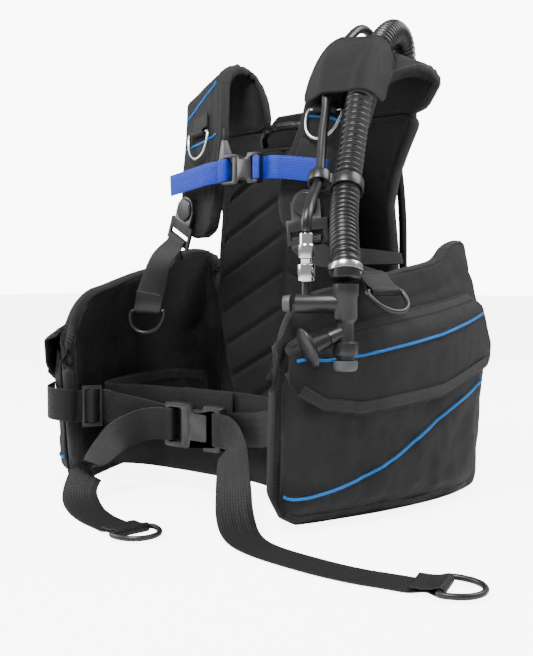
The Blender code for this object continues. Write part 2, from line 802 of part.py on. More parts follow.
def buckle(prefix, at, length, height, thick, carrier, finish):
    """A side-release buckle along X: the socket on the wearer's left, and the plug, which slides out."""
    h, t = height / 2, thick / 2
    bar, slot = 0.075 * length, 0.12 * length
    matrix = Matrix.Translation(at)
    socket = add_part(
        f"{prefix}_buckle_socket",
        box_mesh("socket", (-0.06 * length, -t, -h), (length / 2, t, h)),
        finish,
        matrix,
    )
    throat = box_mesh("throat", (-0.2 * length, -0.62 * t, -0.78 * h), (0.29 * length, 0.62 * t, 0.78 * h))
    window = box_mesh("window", (0.07 * length, -0.62 * t, -1.2 * h), (0.25 * length, 0.62 * t, 1.2 * h))
    eye = box_mesh(
        "eye",
        (length / 2 - bar - slot, -2 * t, -0.8 * h),
        (length / 2 - bar, 2 * t, 0.8 * h),
    )
    cutters = [
        add_cutter(f"{prefix}_{label}", mesh, matrix)
        for label, mesh in (("throat", throat), ("window", window), ("socket_eye", eye))
    ]
    combine(bevel(socket, 0.12 * t, 1), cutters, "DIFFERENCE")

    plug = add_part(
        f"{prefix}_buckle_plug",
        box_mesh("plug", (-length / 2, -t, -h), (-0.06 * length - GAP, t, h)),
        finish,
        matrix,
        carrier,
    )
    eye = box_mesh(
        "eye",
        (-length / 2 + bar, -2 * t, -0.8 * h),
        (-length / 2 + bar + slot, 2 * t, 0.8 * h),
    )
    prongs = [
        box_mesh(
            "prong",
            (-0.10 * length, -0.5 * t, min(side * 0.40 * h, side * 0.72 * h)),
            (0.24 * length, 0.5 * t, max(side * 0.40 * h, side * 0.72 * h)),
        )
        for side in (-1, 1)
    ]
    guide = box_mesh("guide", (-0.10 * length, -0.4 * t, -0.08 * h), (0.20 * length, 0.4 * t, 0.08 * h))
    helpers = [add_cutter(f"{prefix}_prong_{i}", mesh, matrix) for i, mesh in enumerate([*prongs, guide])]
    bevel(plug, 0.12 * t, 1)
    combine(plug, helpers, "UNION")
    combine(plug, [add_cutter(f"{prefix}_plug_eye", eye, matrix)], "DIFFERENCE")


def ladder_turn(at, length, thick, side):
    """Webbing round a buckle's end bar: behind it, through its eye and back out in front."""
    x = length / 2
    bar, slot = 0.075 * length, 0.12 * length
    inner = x - bar - slot / 2
    off = thick / 2 + WEB / 2 + GAP
    spots = (
        (x + 0.0040, off + 0.0003),
        (x - 0.5 * bar, off + 0.0003),
        (inner + 0.0008, off - 0.0012),
        (inner, 0.0),
        (inner + 0.0008, -off + 0.0012),
        (x - 0.5 * bar, -off - 0.0003),
        (x + 0.0040, -off - 0.0003),
    )
    ax, ay, az = at
    return np.array([(ax + side * a, ay + b, az) for a, b in spots])


def floor_tail(name, start, stations, ring_bar, ring_away, ring_carrier, carrier):
    """The pull tail from the buckle's bar down to the floor, and the ring that it ends in."""
    rows = np.array([(*start[-1], 0, 0, 1), *stations], float)
    even = smooth(rows, 26)
    points, acrosses = even[:, :3], even[:, 3:]
    loop = ring_loop(ring_bar, ring_away, (0, 0, 1))
    last = np.cross((0, 0, 1), ring_away)
    if np.dot(last, acrosses[-1]) < 0:
        last = -last
    points = np.vstack([start, points[1:], loop])
    acrosses = np.vstack([np.tile((0, 0, 1), (len(start), 1)), acrosses[1:], np.tile(last, (len(loop), 1))])
    strap(f"waist_tail_{name}", "webbing", points, acrosses, WAIST_WEB_WIDTH, carrier)
    ring(f"waist_ring_{name}", ring_bar, last, -np.array(ring_away), "moulded plastic", ring_carrier)


def slider(at, along):
    """A tri-glide of two eyes and a middle bar, with the waist strap woven through it."""
    along = unit(along)
    matrix = facing(at, np.cross(along, (0, 0, 1)))
    mesh = box_mesh("slider", (-0.0130, -0.026, -0.0015), (0.0130, 0.026, 0.0015))
    plate = add_part("waist_slider", mesh, "moulded plastic", matrix)
    eyes = []
    for side in (-1, 1):
        low, high = sorted((side * 0.0025, side * 0.0097))
        eye = box_mesh("eye", (low, -0.0212, -0.01), (high, 0.0212, 0.01))
        eyes.append(add_cutter(f"slider_eye_{side}", eye, matrix))
    combine(bevel(plate, 0.0006, 1), eyes, "DIFFERENCE")


def woven(at, along):
    """The strap's way through the tri-glide: behind its end bars and over its middle bar."""
    at, along = np.array(at, float), unit(along)
    out = unit(np.cross(along, (0, 0, 1)))
    if out[1] > 0:
        out = -out
    spots = ((-0.018, -0.0030), (-0.0096, -0.0030), (-0.0027, 0.0030), (0.0027, 0.0030), (0.0096, -0.0030),
             (0.018, -0.0030))
    return np.array([at + along * a + out * b for a, b in spots])


# ---------------------------------------------------------------- hoses and inflator


def hoses():
    tube("corrugated_hose", smooth(CORRUGATED_ROUTE, HOSE_POINTS), CORRUGATED_RADIUS, "rubber", resolution=4)
    tube("lp_hose", smooth(LP_ROUTE, 34), LP_RADIUS, "rubber")
    end = Vector(LP_ROUTE[-1]) - Vector((0, 0, GAP))
    turned(
        "lp_hose_fitting",
        FITTING_PROFILE,
        "chrome",
        Matrix.Translation(end),
        steps=12,
    )


def hose_elbow():
    """The port on the back of the jacket that the corrugated hose screws into."""
    x, y, z = CORRUGATED_ROUTE[0]
    top = z - ELBOW_GAP
    inlet = Matrix.Translation((x, y, top - 0.020)) @ Matrix.Rotation(math.radians(90), 4, "X")
    seat = Matrix.Translation((x, 0.0096, top - 0.020)) @ Matrix.Rotation(math.radians(90), 4, "X")
    upright = Matrix.Translation((x, y, top - 0.036))
    elbow = add_part("hose_elbow", round_mesh("down", 0.017, 0.036), "moulded plastic", upright)
    inward = add_cutter("elbow_in", round_mesh("in", 0.0150, y - 0.0056), inlet)
    flange = add_cutter("elbow_flange", round_mesh("flange", 0.0212, 0.004), seat)
    combine(elbow, [inward, flange], "UNION")


def hose_clip():
    """A clip of two eyes that ties the small hose to the big one."""
    big, small = clip_ends()
    matrix = facing(big, hose_direction(CLIP_SPOT))
    local = matrix.inverted() @ small
    reach = Vector((local.x, local.y, 0)).length
    turn = Matrix.Rotation(math.atan2(local.y, local.x), 4, "Z")
    matrix = matrix @ turn @ Matrix.Translation((0, 0, -0.007))
    clip = add_part("hose_clip", round_mesh("clip", 0.0190, 0.014, 24), "moulded plastic", matrix)
    aside = matrix @ Matrix.Translation((reach, 0, 0.0001))
    below = Matrix.Translation((0, 0, -0.03))
    eye = add_cutter("clip_eye", round_mesh("eye", 0.0130, 0.0138, 16), aside)
    bridge = box_mesh("bridge", (0.010, -0.0075, 0.0002), (reach, 0.0075, 0.0136))
    bridge = add_cutter("clip_bridge", bridge, matrix)
    hole = add_cutter("clip_hole", round_mesh("hole", CORRUGATED_RADIUS + 0.0012, 0.06, 24), matrix @ below)
    small_hole = add_cutter("clip_small_hole", round_mesh("hole", LP_RADIUS + 0.0044, 0.06, 16), aside @ below)
    combine(clip, [eye, bridge], "UNION")
    combine(clip, [hole, small_hole], "DIFFERENCE")


def hose_clamp():
    """The band that holds the corrugated hose on its cuff."""
    line = smooth(CORRUGATED_ROUTE, HOSE_POINTS)
    cuff = Vector(line[-1] + (line[-2] - line[-1]) * 0.35)
    matrix = facing(cuff, line[-2] - line[-1])
    clamp = add_part("hose_clamp", round_mesh("clamp", CORRUGATED_RADIUS + 0.0022, 0.007, 24), "steel", matrix)
    bore = round_mesh("bore", CORRUGATED_RADIUS + 0.0006, 0.03, 24)
    combine(clamp, [add_cutter("clamp_bore", bore, matrix @ Matrix.Translation((0, 0, -0.01)))], "DIFFERENCE")


def hose_direction(i):
    line = smooth(CORRUGATED_ROUTE, HOSE_POINTS)
    return line[i + 1] - line[i - 1]


def clip_ends():
    """Where the clip holds the big hose, and the nearest point of the small one."""
    line = smooth(CORRUGATED_ROUTE, HOSE_POINTS)
    big = line[CLIP_SPOT]
    along = unit(hose_direction(CLIP_SPOT))
    small = min(smooth(LP_ROUTE, 400), key=lambda spot: abs(np.dot(spot - big, along)))
    return Vector(big), Vector(small)


def across_section(frame, before, after, route):
    """Where a hose passes a section of the yoke: across it and out from it."""
    middle, across, outward, _ = frame
    forward = unit(after - before)
    spot = min(route, key=lambda p: abs(np.dot(p - middle, forward)) + 0.2 * np.linalg.norm(p - middle))
    return np.array((np.dot(spot - middle, across), np.dot(spot - middle, outward)))


def hose_sleeve():
    """The padded flap that folds over both hoses on the left shoulder, hinged on its inner edge."""
    frames = yoke_frames(1)
    first, last = 11, 17
    big_line, small_line = smooth(CORRUGATED_ROUTE, 300), smooth(LP_ROUTE, 400)
    sections = []
    for i in range(first, last + 1):
        middle, across, outward, width = frames[i]
        ends = frames[i - 1][0], frames[i + 1][0]
        big = across_section(frames[i], *ends, big_line)
        small = across_section(frames[i], *ends, small_line)
        off = YOKE_THICK / 2 + 0.0025
        over = CORRUGATED_RADIUS + 0.0030
        low = LP_RADIUS + 0.0040
        arch = [
            (min(-width / 2 + 0.003, small[0] - low - 0.006), off),
            small + low * unit((-1.0, 0.5)),
            small + low * unit((-0.2, 1.0)),
            big + over * unit((-0.8, 0.8)),
            big + over * unit((0.0, 1.0)),
            big + over * unit((0.75, 0.75)),
            big + over * unit((1.0, 0.05)),
            (max(width / 2 - 0.003, big[0] + over + 0.004), off),
        ]
        sections.append([middle + across * a + outward * n for a, n in smooth(arch, 12)])
    inner = [np.array(section[0]) for section in sections]
    carrier = pivot("hose_sleeve_pivot", (inner[0] + inner[-1]) / 2)

    def point(u, v):
        return Vector(sections[round(u * (last - first))][round(v * 11)])

    sheet("hose_sleeve", "nylon", point, last - first, 11, 0.003, carrier)


def inflator():
    """The body that the corrugated hose ends in: its side arm, its port and the root of its mouthpiece."""
    x, y = INFLATOR_AT
    arm = Vector((*INFLATOR_ARM, 0)).normalized()
    port_at = Vector((x, y, 0)) + arm * PORT_REACH
    mouth = Vector((*MOUTH_ARM, -0.40)).normalized()
    mouth_start = Vector((x, y, 0.209))
    body = turned("inflator_body", INFLATOR_PROFILE, "moulded plastic", Matrix.Translation((x, y, 0)))
    arm_spot = facing((x, y, ARM_HEIGHT), arm)
    port_spot = Matrix.Translation((port_at.x, port_at.y, ARM_HEIGHT))
    side_arm = add_cutter("inflator_arm", round_mesh("arm", 0.0098, ARM_LENGTH, 20), arm_spot)
    port = add_cutter("lp_port", round_mesh("port", 0.0045, 0.0215, 14), port_spot)
    spout = add_cutter("mouth_spout", round_mesh("spout", 0.0070, 0.020, 16), facing(mouth_start, mouth))
    combine(body, [side_arm, port, spout], "UNION")
    mouth_spot = facing(mouth_start + mouth * 0.0205, mouth) @ Matrix.Diagonal((0.80, 1, 1, 1))
    turned("mouthpiece", MOUTH_PROFILE, "rubber", mouth_spot)
    inflator_buttons(x, y, arm)
    quick_disconnect(port_at)


def inflator_buttons(x, y, arm):
    """One button on the end of the side arm lets air in, and one under the body lets it out."""
    carrier = pivot("inflate_button_pivot", (x, y, ARM_HEIGHT))
    spot = facing(Vector((x, y, ARM_HEIGHT)) + arm * (ARM_LENGTH + 0.0055), arm)
    add_part("inflate_button", round_mesh("button", 0.0092, 0.0080, 20, 0.0080), "grey plastic", spot, carrier)
    carrier = pivot("deflate_button_pivot", (x, y, 0.180))
    turned("deflate_button", DEFLATE_PROFILE, "grey plastic", Matrix.Translation((x, y, 0)), carrier)


def quick_disconnect(port_at):
    """The fitting on the small hose's end, and the sliding collar that locks it on the port."""
    spot = Matrix.Translation((port_at.x, port_at.y, 0))
    carrier = pivot("disconnect_collar_pivot", (port_at.x, port_at.y, 0.266))
    ring_spot = spot @ Matrix.Translation((0, 0, 0.2590))
    collar = add_part("disconnect_collar", round_mesh("collar", 0.0090, 0.0165), "chrome", ring_spot, carrier)
    bore_spot = spot @ Matrix.Translation((0, 0, 0.245))
    combine(collar, [add_cutter("collar_bore", round_mesh("bore", 0.0066, 0.05, 16), bore_spot)], "DIFFERENCE")
    turned("quick_disconnect", DISCONNECT_PROFILE, "chrome", spot, steps=16)


# ---------------------------------------------------------------- tank side and dump valve


def tank_band():
    """It goes round the tank and through the backplate, and laps itself under the cam buckle."""
    other = [(-x, y) for x, y in TANK_BAND_HALF[::-1]][1:-2]
    route = [(-0.036, 0.1175), *TANK_BAND_HALF, *other, *TANK_BAND_LAP]
    band = [(x, y, TANK_BAND_Z) for x, y in smooth(route, 60)]
    strap("tank_band", "webbing", band, (0, 0, 1), TANK_BAND_HEIGHT, thickness=TANK_BAND_THICK)


def cam_buckle():
    """A frame on the band's lap, and the lever that pulls it tight."""
    low, high = TANK_BAND_Z - 0.030, TANK_BAND_Z + 0.030
    mesh = box_mesh("frame", (-0.034, 0.1268, low), (0.030, 0.1305, high))
    frame = add_part("cam_buckle_frame", mesh, "moulded plastic")
    window = box_mesh("window", (-0.012, 0.12, low + 0.008), (0.020, 0.14, high - 0.008))
    ears = []
    for z in (low, high - 0.004):
        ears.append(add_cutter("cam_ear", box_mesh("ear", (-0.034, 0.1290, z), (-0.020, 0.1400, z + 0.004))))
    combine(bevel(frame, 0.0008, 1), [add_cutter("cam_window", window)], "DIFFERENCE")
    combine(frame, ears, "UNION")
    carrier = pivot("cam_lever_pivot", (-0.027, 0.1350, TANK_BAND_Z))
    mesh = box_mesh("lever", (-0.031, 0.1318, low + 0.0045), (0.040, 0.1368, high - 0.0045))
    bevel(add_part("cam_lever", mesh, "moulded plastic", carrier=carrier), 0.0015, 2)


def dump_valve():
    """On the back of the right shoulder, with its pull cord's end and knob on the strap's inner edge."""
    at = Vector((-0.132, 0.0095, 0.5035))
    turned("dump_valve", VALVE_PROFILE, "moulded plastic", facing(at, (0, 1, 0)))
    top = Vector((-0.0345, -0.1320, 0.440))
    carrier = pivot("dump_knob_pivot", top)
    offsets = ((0, 0, 0.0004), (-0.001, 0.001, 0.008), (-0.004, 0.003, 0.016))
    tube("dump_cord", [top + Vector(offset) for offset in offsets], 0.0015, "webbing", carrier, resolution=1)
    lean = Vector((0.22, -0.10, -1)).normalized()
    flat = facing(top, lean) @ Matrix.Diagonal((1, 0.5, 1, 1))
    add_part("dump_knob", round_mesh("knob", 0.0045, 0.032, 12, 0.0125), "grey plastic", flat, carrier)


# ---------------------------------------------------------------- harness


def waist_right():
    """The buckle, the right strap through its slider, and the right tail."""
    length, height, thick = WAIST_BUCKLE_SIZE
    release = pivot("waist_release_pivot", WAIST_BUCKLE_AT)
    buckle("waist", WAIST_BUCKLE_AT, length, height, thick, release, "moulded plastic")
    right_turn = ladder_turn(WAIST_BUCKLE_AT, length, thick, -1)
    slider_at, slider_along = (-0.1370, -0.2690, 0.102), (-0.46, -0.88, 0)
    slider(slider_at, slider_along)
    weave = woven(slider_at, slider_along)
    start = right_turn[0] + np.array((-0.0012, 0, 0))
    route = [start, (-0.064, -0.2195, 0.086), (-0.092, -0.2300, 0.092), (-0.118, -0.2460, 0.098)]
    outer = (
        (-0.1475, -0.2960, 0.105),
        (-0.1540, -0.3050, 0.106),
        (-0.1660, -0.3090, 0.107),
        (-0.1790, -0.3050, 0.108),
        (-0.1900, -0.2930, 0.109),
        (-0.2000, -0.2770, 0.110),
    )
    points = np.vstack([smooth([*route, weave[0]], 9)[:-1], weave, smooth([weave[-1], *outer], 9)[1:]])
    strap("waist_strap_right", "webbing", points, (0, 0, 1), WAIST_WEB_WIDTH)

    right_stations = (
        (-0.070, -0.2440, 0.082, 0, 0.10, 1.0),
        (-0.086, -0.2700, 0.070, -0.20, 0.35, 0.90),
        (-0.095, -0.2920, 0.050, -0.30, 0.60, 0.72),
        (-0.096, -0.3140, 0.030, -0.10, 0.80, 0.55),
        (-0.082, -0.3370, 0.012, 0.15, 0.95, 0.30),
        (-0.050, -0.3560, 0.0030, 0.40, 0.92, 0.05),
        (-0.015, -0.3700, TAIL_ON_FLOOR, 0.35, 0.94, 0),
        (0.020, -0.3790, TAIL_ON_FLOOR, 0.22, 0.98, 0),
        (0.032, -0.3815, TAIL_ON_FLOOR, 0.20, 0.98, 0),
    )
    away = unit((-0.980, 0.200, 0))
    bar = np.array((0.0575, -0.3867, RING_ON_FLOOR))
    ring_pivot = pivot("waist_ring_right_pivot", bar)
    floor_tail("right", right_turn[1:], right_stations, bar, away, ring_pivot, release)


def waist_left():
    """The left strap and its long tail over the floor."""
    length, _, thick = WAIST_BUCKLE_SIZE
    left_turn = ladder_turn(WAIST_BUCKLE_AT, length, thick, 1)
    route = (
        left_turn[0] + np.array((0.0012, 0, 0)),
        (0.066, -0.2175, 0.086),
        (0.094, -0.2280, 0.090),
        (0.120, -0.2430, 0.096),
        (0.140, -0.2540, 0.100),
        (0.156, -0.2530, 0.103),
        (0.168, -0.2410, 0.104),
    )
    strap("waist_strap_left", "webbing", smooth(route, 14), (0, 0, 1), WAIST_WEB_WIDTH)

    left_stations = (
        (0.066, -0.2400, 0.082, 0.15, 0.05, 1.0),
        (0.080, -0.2520, 0.070, 0.60, 0.30, 0.75),
        (0.090, -0.2640, 0.050, 0.80, 0.45, 0.40),
        (0.106, -0.2820, 0.031, 0.80, 0.55, 0.20),
        (0.130, -0.3080, 0.014, 0.70, 0.70, 0.10),
        (0.160, -0.3320, 0.003, 0.48, 0.87, 0.02),
        (0.198, -0.3480, TAIL_ON_FLOOR, 0.20, 0.98, 0),
        (0.257, -0.3560, TAIL_ON_FLOOR, 0.05, 1.0, 0),
        (0.305, -0.3560, TAIL_ON_FLOOR, -0.05, 1.0, 0),
        (0.340, -0.3500, TAIL_ON_FLOOR, -0.15, 0.98, 0),
        (0.360, -0.3460, TAIL_ON_FLOOR, -0.22, 0.97, 0),
    )
    away = unit((-0.970, -0.243, 0))
    bar = np.array((0.3855, -0.3396, RING_ON_FLOOR))
    ring_pivot = pivot("waist_ring_left_pivot", bar)
    floor_tail("left", left_turn[1:], left_stations, bar, away, ring_pivot, VEST)


def sternum():
    length, height, thick = STERNUM_BUCKLE_SIZE
    release = pivot("sternum_release_pivot", STERNUM_BUCKLE_AT)
    buckle("sternum", STERNUM_BUCKLE_AT, length, height, thick, release, "moulded plastic")
    left = ((0.060, -0.1535, 0.397), (0.080, -0.149, 0.395), (0.100, -0.144, 0.392), (0.128, -0.137, 0.388))
    right = ((-0.044, -0.1525, 0.396), (-0.062, -0.150, 0.394), (-0.105, -0.140, 0.390), (-0.130, -0.133, 0.388))
    for name, side, route in (("left", 1, left), ("right", -1, right)):
        turn = ladder_turn(STERNUM_BUCKLE_AT, length, thick, side)
        start = turn[0] + np.array((side * 0.002, 0, 0))
        points = np.vstack([turn[::-1], smooth([start, *route], 9)])
        strap(f"sternum_strap_{name}", "blue webbing", points, (0, 0, 1), STERNUM_WEB_WIDTH)


def shoulders():
    shoulder_ring("left", 1, 0.585, -0.010)
    shoulder_ring("right", -1, 0.615, 0.0)
    swivel("left")
    route = ((0.124, -0.117, 0.289), (0.162, -0.091, 0.288), (0.192, -0.070, 0.286))
    tail = (
        (0.122, -0.156, 0.294),
        (0.160, -0.170, 0.279),
        (0.190, -0.178, 0.274),
        (0.217, -0.183, 0.268),
        (0.2365, -0.188, 0.248),
    )
    shoulder_webbing("left", 1, route, tail, (0.35, 0.93, 0), VEST)
    carrier = swivel("right")
    route = ((-0.146, -0.117, 0.298), (-0.173, -0.091, 0.293), (-0.192, -0.070, 0.288))
    tail = (
        (-0.134, -0.148, 0.288),
        (-0.146, -0.150, 0.258),
        (-0.153, -0.152, 0.236),
        (-0.156, -0.153, 0.218),
    )
    shoulder_webbing("right", -1, route, tail, (0.85, 0.5, 0), carrier)


def build():
    back_assembly()
    carry_handle()
    for name, side in (("left", 1), ("right", -1)):
        lobe(name, side)
        pocket(name, side)
        carrier = VEST
        if name == "right":
            middle = on_lobe(side, 0.35, profile(FLAP_TOP, 0.35), FLAP_HINGE_OUT)
            carrier = pivot("right_flap_pivot", middle)
        pocket_flap(name, side, carrier)
        cummerbund(name, side, -0.006 if side < 0 else 0.0)
        yoke(name, side)
    shoulders()
    sternum()
    waist_right()
    waist_left()
    hoses()
    hose_elbow()
    hose_clip()
    hose_clamp()
    hose_sleeve()
    inflator()
    tank_band()
    cam_buckle()
    dump_valve()


build()
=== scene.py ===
"""Looks of the buoyancy vest: cloth, webbing, hoses and hardware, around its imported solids.

Metres, +Z up. The wearer faces -Y and +X is the wearer's left. Routes and outlines are in the vest's own
frame, whose x = 0 is the wearer's midline; world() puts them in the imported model's frame.
"""

import json
import math

import bpy
import numpy as np
from mathutils import Matrix, Vector, noise

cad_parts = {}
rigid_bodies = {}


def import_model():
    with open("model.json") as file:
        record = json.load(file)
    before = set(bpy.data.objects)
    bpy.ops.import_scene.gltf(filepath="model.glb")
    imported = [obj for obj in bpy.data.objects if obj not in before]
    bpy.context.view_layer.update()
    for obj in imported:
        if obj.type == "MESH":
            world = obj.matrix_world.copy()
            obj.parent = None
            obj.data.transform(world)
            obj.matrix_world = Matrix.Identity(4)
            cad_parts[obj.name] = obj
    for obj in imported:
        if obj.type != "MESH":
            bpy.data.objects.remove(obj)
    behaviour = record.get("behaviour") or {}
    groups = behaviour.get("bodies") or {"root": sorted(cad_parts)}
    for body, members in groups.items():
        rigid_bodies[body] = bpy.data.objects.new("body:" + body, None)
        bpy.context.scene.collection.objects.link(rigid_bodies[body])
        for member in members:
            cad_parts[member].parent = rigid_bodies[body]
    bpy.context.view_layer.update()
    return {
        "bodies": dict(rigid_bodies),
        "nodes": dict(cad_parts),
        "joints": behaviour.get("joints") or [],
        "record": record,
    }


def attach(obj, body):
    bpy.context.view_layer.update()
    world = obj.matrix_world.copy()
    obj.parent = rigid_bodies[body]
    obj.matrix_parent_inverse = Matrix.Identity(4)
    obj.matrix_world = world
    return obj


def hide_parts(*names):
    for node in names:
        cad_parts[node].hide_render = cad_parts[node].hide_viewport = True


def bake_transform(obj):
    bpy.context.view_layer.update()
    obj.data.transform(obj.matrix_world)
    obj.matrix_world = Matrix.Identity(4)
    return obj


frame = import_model()

MIDLINE = np.array((-0.0714, 0.1374, 0.0005))


# ---------------------------------------------------------------- small tools


def world(points):
    """From the vest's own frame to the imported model's."""
    return np.asarray(points, float) + MIDLINE


def unit(vector):
    """The vector at length one."""
    vector = np.asarray(vector, float)
    return vector / np.linalg.norm(vector)


def smooth(points, count):
    """Evenly spaced points on a smooth curve through a route's points; extra columns are carried along."""
    route = np.array(points, float)
    padded = np.vstack([2 * route[0] - route[1], route, 2 * route[-1] - route[-2]])
    fine = []
    for i in range(1, len(padded) - 2):
        a, b, c, d = padded[i - 1 : i + 3]
        for t in np.linspace(0, 1, 20, endpoint=False):
            bend = (2 * a - 5 * b + 4 * c - d) * t**2 + (3 * b - a - 3 * c + d) * t**3
            fine.append(0.5 * (2 * b + (c - a) * t + bend))
    return even(np.array(fine + [route[-1]]), count)


def even(points, count):
    """The same line with its points at equal steps along it."""
    points = np.asarray(points, float)
    place_columns = min(points.shape[1], 3)
    along = np.r_[0, np.cumsum(np.linalg.norm(np.diff(points[:, :place_columns], axis=0), axis=1))]
    steps = np.linspace(0, along[-1], count)
    return np.column_stack([np.interp(steps, along, column) for column in points.T])


def length_of(points):
    """The length of a line of points."""
    return float(np.linalg.norm(np.diff(np.asarray(points)[:, :3], axis=0), axis=1).sum())


def profile(rows, t):
    """The second column of a table at a place in its first."""
    return float(np.interp(t, *zip(*rows)))


def mixed(a, b, share):
    """A value or a point between two."""
    return np.asarray(a, float) * (1 - share) + np.asarray(b, float) * share


# ---------------------------------------------------------------- materials


class Value:
    """A number in a material, so that sums on it are written as Python."""

    def __init__(self, tree, socket):
        self.tree, self.socket = tree, socket

    def sum(self, operation, *values):
        node = self.tree.nodes.new("ShaderNodeMath")
        node.operation = operation
        for slot, value in zip(node.inputs, values):
            fill(self.tree, slot, value)
        return Value(self.tree, node.outputs[0])

    def __add__(self, other):
        return self.sum("ADD", self, other)

    __radd__ = __add__

    def __sub__(self, other):
        return self.sum("SUBTRACT", self, other)

    def __rsub__(self, other):
        return self.sum("SUBTRACT", other, self)

    def __mul__(self, other):
        return self.sum("MULTIPLY", self, other)

    __rmul__ = __mul__

    def sine(self):
        return self.sum("SINE", self)


def fill(tree, slot, value):
    """Links a value to a socket, or sets the socket to it."""
    if isinstance(value, Value):
        tree.links.new(value.socket, slot)
    else:
        slot.default_value = value


class Finish:
    """One material on a Principled shader; node() makes every node that isn't a sum."""

    def __init__(self, name, roughness, metallic=0.0, **uniform):
        self.material = bpy.data.materials.new(name)
        self.material.use_nodes = True
        self.tree = self.material.node_tree
        self.shader = self.tree.nodes["Principled BSDF"]
        self.shader.inputs["Roughness"].default_value = roughness
        self.shader.inputs["Metallic"].default_value = metallic
        for socket, value in uniform.items():
            self.shader.inputs[socket.replace("_", " ")].default_value = value

    def node(self, kind, settings, output, **inputs):
        node = self.tree.nodes.new("ShaderNode" + kind)
        for key, value in settings.items():
            setattr(node, key, value)
        for socket, value in inputs.items():
            fill(self.tree, node.inputs[socket.replace("_", " ")], value)
        return Value(self.tree, node.outputs[output])

    def uv(self):
        """The piece's own map, in metres along it and across it."""
        chart = self.node("UVMap", {}, "UV")
        parts = self.tree.nodes.new("ShaderNodeSeparateXYZ")
        self.tree.links.new(chart.socket, parts.inputs[0])
        return Value(self.tree, parts.outputs[0]), Value(self.tree, parts.outputs[1])

    def grain(self, scale, detail=3.0, roughness=0.55):
        place = self.node("TexCoord", {}, "Object")
        return self.node(
            "TexNoise", {}, "Fac", Vector=place, Scale=scale, Detail=detail, Roughness=roughness
        )

    def blend(self, share, dark, light):
        """A colour between two, by a share from 0 to 1."""
        node = self.tree.nodes.new("ShaderNodeMix")
        node.data_type = "RGBA"
        fill(self.tree, node.inputs["Factor"], share)
        for slot, colour in ((node.inputs[6], dark), (node.inputs[7], light)):
            fill(self.tree, slot, colour if isinstance(colour, Value) else (*colour, 1))
        return Value(self.tree, node.outputs[2])

    def paint(self, colour):
        fill(self.tree, self.shader.inputs["Base Color"], colour)
        return self

    def rough(self, value):
        fill(self.tree, self.shader.inputs["Roughness"], value)
        return self

    def bump(self, height, distance, strength=1.0):
        normal = self.node("Bump", {}, "Normal", Height=height, Distance=distance, Strength=strength)
        fill(self.tree, self.shader.inputs["Normal"], normal)
        return self


def woven_cloth(name, dark, light, pitch, roughness, sheen, creases):
    """Plain weave: threads over and under each other, broad soft mottling, fine creases and a little dust."""
    made = Finish(name, roughness, Sheen_Weight=sheen, Sheen_Roughness=0.4, Specular_IOR_Level=0.30)
    along, across = made.uv()
    turn = 2 * math.pi / pitch
    weave = (along * turn).sine() * (across * turn).sine()
    mottle = made.grain(14.0, 6.0)
    wear = made.grain(95.0, 4.0)
    speck = made.grain(1100.0, 2.0)
    made.paint(made.blend(mottle * 0.75 + weave * 0.22 + speck * 0.45 + wear * 0.35 - 0.42, dark, light))
    made.rough(mottle * 0.22 + (roughness - 0.11))
    folds = made.grain(38.0, 7.0) * creases + made.grain(120.0, 3.0) * (creases * 0.35)
    return made.bump(weave * 0.45 + folds + speck * 0.4, 0.0010, 0.75)


def ribbed_webbing(name, dark, light, roughness):
    """Ribs across the webbing, with a flat selvedge and a slight herringbone."""
    made = Finish(name, roughness, Sheen_Weight=0.04, Sheen_Roughness=0.35, Specular_IOR_Level=0.35)
    along, across = made.uv()
    ribs = (along * (2 * math.pi / 0.0023) + (across * (2 * math.pi / 0.0095)).sine() * 1.3).sine()
    wales = (across * (2 * math.pi / 0.0030)).sine()
    speck = made.grain(700.0, 2.0)
    made.paint(made.blend(ribs * 0.22 + wales * 0.12 + speck * 0.5 + 0.12, dark, light))
    return made.bump(ribs * 0.5 + wales * 0.25 + speck * 0.3, 0.0005, 0.6)


def moulded(name, dark, light, roughness, metallic=0.0, grain=0.5):
    """Moulded or cast stuff: fine grain, and faint wear in its colour and gloss."""
    made = Finish(name, roughness, metallic)
    mottle = made.grain(60.0, 6.0)
    made.paint(made.blend(mottle, dark, light))
    made.rough(mottle * 0.22 + (roughness - 0.10))
    return made.bump(made.grain(1400.0, 3.0) * grain + mottle * 0.5, 0.0002, 0.35)


NYLON = woven_cloth(
    "charcoal nylon", (0.0012, 0.0012, 0.0014), (0.0108, 0.0107, 0.0112), 0.0019, 0.62, 0.03, 3.0
)
LINING = woven_cloth(
    "smooth lining", (0.0010, 0.0010, 0.0012), (0.0075, 0.0075, 0.0080), 0.0012, 0.48, 0.02, 2.0
)
SPACER = woven_cloth(
    "spacer mesh", (0.0020, 0.0020, 0.0022), (0.0190, 0.0190, 0.0195), 0.0032, 0.72, 0.04, 0.6
)
TAPE = woven_cloth(
    "binding tape", (0.0024, 0.0024, 0.0026), (0.0150, 0.0150, 0.0156), 0.0012, 0.54, 0.07, 0.3
)
WEBBING = ribbed_webbing("black webbing", (0.0010, 0.0010, 0.0012), (0.0098, 0.0098, 0.0103), 0.54)
BLUE = ribbed_webbing("blue webbing", (0.000, 0.010, 0.200), (0.003, 0.045, 0.600), 0.50)
PIPING = woven_cloth("cyan piping", (0.000, 0.110, 0.420), (0.002, 0.240, 0.720), 0.0012, 0.45, 0.03, 0.2)
THREAD = moulded("sewing thread", (0.022, 0.022, 0.023), (0.075, 0.075, 0.073), 0.60)
PLASTIC = moulded("charcoal acetal", (0.0060, 0.0063, 0.0068), (0.0160, 0.0165, 0.0175), 0.36)
SATIN = moulded("worn satin acetal", (0.012, 0.012, 0.012), (0.036, 0.036, 0.035), 0.30)
GREY = moulded("grey plastic", (0.040, 0.041, 0.043), (0.085, 0.086, 0.090), 0.45)
RUBBER = moulded("black rubber", (0.0030, 0.0030, 0.0033), (0.0095, 0.0095, 0.0100), 0.36)
